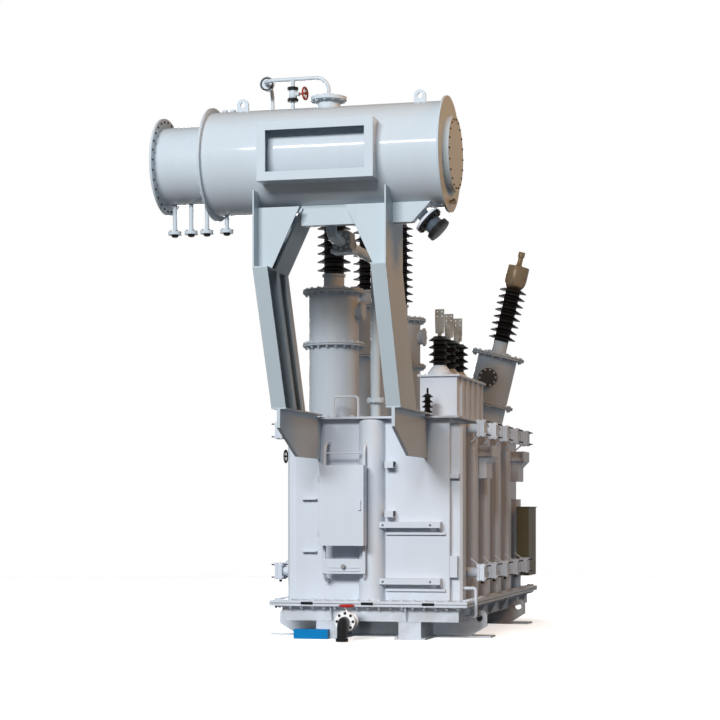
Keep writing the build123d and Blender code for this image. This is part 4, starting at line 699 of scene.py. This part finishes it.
def bypass_pieces():
    """Body, wheel and black collars of the bypass valve over the drum, and a dark ring at the breather pipe's
    joint, painted shade where the elbow faces away from the light."""
    way = np.array([math.sin(BYPASS_TURN), -math.cos(BYPASS_TURN), 0.0])
    middle = np.array([-0.42, DRUM_Y, (DRUM_Z + DRUM_RADIUS + PIPE_Z) / 2])
    body = turned([(0.021, -0.175), (0.021, -0.06), (0.034, -0.05), (0.046, -0.03), (0.046, 0.03),
                   (0.034, 0.05), (0.021, 0.06), (0.021, 0.15)], around=24)
    neck = turned([(0.026, 0.02), (0.026, 0.07), (0.018, 0.078)], around=16)
    body = joined(stamp(body, [middle], UP), stamp(neck, [middle], way))
    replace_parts(piece("bypass_body", body, DRUM_PAINT_SHADED), "bypass_valve")

    hub = middle + 0.142 * way
    stem = turned([(0.0095, 0.05), (0.0095, 0.145), (0.018, 0.147), (0.018, 0.158)], around=12)
    stem = stamp(stem, [middle], way)
    rim = stamp(hoop(radius=0.062, thick=0.0105), [hub], way)
    spokes = stamp(turned([(0.006, -0.06), (0.006, 0.06)], around=8), [hub] * 2, [UP, np.cross(way, UP)])
    piece("bypass_wheel", joined(rim, spokes, stem), RUST_RED)

    offset = (0, 0, 0.06)
    collar = turned([(0.054, -0.016), (0.058, -0.012), (0.058, 0.012), (0.054, 0.016)], around=24)
    collars = stamp(collar, [middle + offset, middle - offset], UP)
    piece("bypass_collars", collars, BLACK)
    # Dark ring at the breather's joint: painted shade on the elbow that faces away from the light.
    joint = stamp(hoop(radius=0.064, thick=0.0165), [(-0.75, DRUM_Y + 0.152, PIPE_Z)], BACK)
    piece("breather_joint_shade", joint, HATCH_AND_SHADE)


def mount_pieces():
    """Bolted base of the gas relay, and the clamps that hold the low voltage flags."""
    base_top = 4.2535
    corners = [(x, y, base_top) for x in (-0.128, 0.088) for y in (-3.585, -3.415)]
    base = box(x=(-0.1415, 0.1015), y=(-3.6095, -3.3905), z=(4.2285, base_top))
    base = joined(base, stamp(bolt(size=0.016), corners, UP))
    piece("relay_base", base, BOLT_PAINT)

    half, screw_z = 0.034, 3.587
    clamps = [box(x=(0.575, 0.665), y=about(y, half), z=(3.54, 3.635)) for y in LV_Y]
    screws = [(x, y - half, screw_z) for x in (0.597, 0.643) for y in LV_Y]
    clamps = joined(*clamps, stamp(bolt(size=0.013), screws, AHEAD))
    # The clamps take the flags' paler aluminium, which is painted light in the drum's shadow.
    piece("lv_clamps", clamps, FLAG_METAL_LIT)


flange_pieces()
wall_pieces()
valve_pieces()
turret_pieces()
conservator_pieces()
gauge_pieces()
bypass_pieces()
mount_pieces()

# Lamps: name, place, target, width and height, watts, colour
LAMPS = (
    ("front_light", (-4.4, -44.0, 19.65), (0.0, -2.5, 2.8), (22.0, 8.0), 20600.0, (1.0, 0.99, 0.97)),
    ("drum_strip", (-3.0, -17.62, 10.38), (-0.6, -4.6, 5.18), (4.2, 1.1), 185.0, (1.0, 1.0, 1.0)),
    ("right_light", (6.5, -3.6, 8.2), (1.2, -3.9, 5.1), (2.8, 2.8), 235.0, (1.0, 0.42, 0.04)),
    ("side_fill", (11.0, 4.0, 1.6), (1.0, 0.5, 1.2), (5.0, 3.0), 110.0, (0.93, 0.97, 1.0)),
    ("rear_light", (-6.0, 15.0, 7.0), (0.0, 0.0, 2.5), (7.0, 7.0), 2000.0, (1.0, 0.98, 0.95)),
    ("skid_fill", (0.6, -9.0, 0.3), (0.2, -2.3, -0.03), (5.0, 0.3), 2.3, (0.97, 0.99, 1.0)),
)
MIRRORED_LAMPS = ("drum_strip", "rear_light")
NARROW_LAMPS = {"skid_fill": 14.0}
WIDE_SPREAD = 180.0
WHITE = (1.0, 1.0, 1.0, 1.0)
UNLIT = (0.0, 0.0, 0.0, 1.0)
AMBIENT = (0.80, 0.84, 0.90, 1.0)
AMBIENT_STRENGTH = 0.11
ROOM_GLOSSY_SHARE = 0.25
FLOOR_GLOSSY_SHARE = 0.2
FLOOR_RADIUS = 60.0
FLOOR_FADE = (8.0, 22.0)
FLOOR_LOW = (0.90, 0.90, 0.90, 1.0)
FLOOR_HIGH = (0.97, 0.97, 0.97, 1.0)
FLOOR_BOUNCE = (0.10, 0.095, 0.09, 1.0)
FLOOR_GLOW = (0.62, 0.62, 0.62, 1.0)


def light_room(scene):
    """White surroundings for what the camera and gloss see, and a weak cool ambient light on the object."""
    world = scene.world or bpy.data.worlds.new("studio")
    scene.world = world
    world.use_nodes = True
    tree = world.node_tree
    tree.nodes.clear()
    wire = Wire(tree)
    ambient = wire.node("ShaderNodeBackground", None, {"Color": AMBIENT, "Strength": AMBIENT_STRENGTH})
    white = wire.node("ShaderNodeBackground", None, {"Color": WHITE, "Strength": 1.0})
    both = wire.node("ShaderNodeMixShader", None, {0: wire.seen(ROOM_GLOSSY_SHARE), 1: ambient, 2: white})
    wire.node("ShaderNodeOutputWorld", None, {"Surface": both})


def place_lamps(scene):
    """Wide front light, a strip for the line on the drum, a warm light at the drum's end, weak fills at the
    side and the skids, and a rear light."""
    for name, place, target, size, power, colour in LAMPS:
        data = bpy.data.lights.new(name, "AREA")
        data.shape = "RECTANGLE"
        data.size, data.size_y = size
        data.energy = power
        data.color = colour
        data.spread = math.radians(NARROW_LAMPS.get(name, WIDE_SPREAD))
        lamp = bpy.data.objects.new(name, data)
        lamp.location = place
        lamp.rotation_euler = (Vector(target) - Vector(place)).to_track_quat("-Z", "Y").to_euler()
        lamp.visible_glossy = name in MIRRORED_LAMPS
        scene.collection.objects.link(lamp)


def lay_floor(scene):
    """Pale disc that is bright to the camera, dark to lighting rays, and fades out far away."""
    angle = np.linspace(0.0, FULL_TURN, 64, endpoint=False)
    disc = FLOOR_RADIUS * np.stack([np.cos(angle), np.sin(angle), 0 * angle], -1)
    data = bpy.data.meshes.new("floor")
    data.from_pydata(disc.tolist(), [], [list(range(len(disc)))])
    floor = bpy.data.objects.new("floor", data)
    scene.collection.objects.link(floor)
    made, wire, shader = new_finish("pale_floor", {"Specular IOR Level": 0.1, "Emission Strength": 1.0})
    shown = wire.seen(FLOOR_GLOSSY_SHARE)
    scuffs = wire.noise(scale=0.8, detail=5.0)
    colour = shown.mix(FLOOR_BOUNCE, scuffs.mix(FLOOR_LOW, FLOOR_HIGH))
    feed(wire, shader, colour=colour, roughness=0.7 + 0.2 * scuffs, glow=shown.mix(UNLIT, FLOOR_GLOW))
    place = wire.node("ShaderNodeTexCoord", out="Object")
    far = wire.node("ShaderNodeVectorMath", {"operation": "LENGTH"}, {0: place}, out="Value")
    near = Wire(wire.tree, shader.outputs["BSDF"])
    clear = wire.node("ShaderNodeBsdfTransparent")
    fading = wire.node("ShaderNodeMixShader", None, {0: far.step(*FLOOR_FADE), 1: near, 2: clear})
    wire.tree.links.new(fading.socket, wire.tree.nodes["Material Output"].inputs["Surface"])
    data.materials.append(made)


def set_camera(scene):
    """Camera at the photograph's place, level, with its vertical shift."""
    data = bpy.data.cameras.new("camera")
    data.lens = CAMERA_LENS
    data.sensor_width = CAMERA_SENSOR
    data.shift_y = CAMERA_SHIFT
    data.clip_end = CAMERA_REACH
    camera = bpy.data.objects.new("camera", data)
    camera.location = CAMERA_PLACE
    camera.rotation_euler = (math.pi / 2, 0.0, math.radians(CAMERA_YAW))
    scene.collection.objects.link(camera)
    scene.camera = camera


studio = bpy.context.scene
studio.view_settings.view_transform = "Standard"
light_room(studio)
place_lamps(studio)
lay_floor(studio)
set_camera(studio)
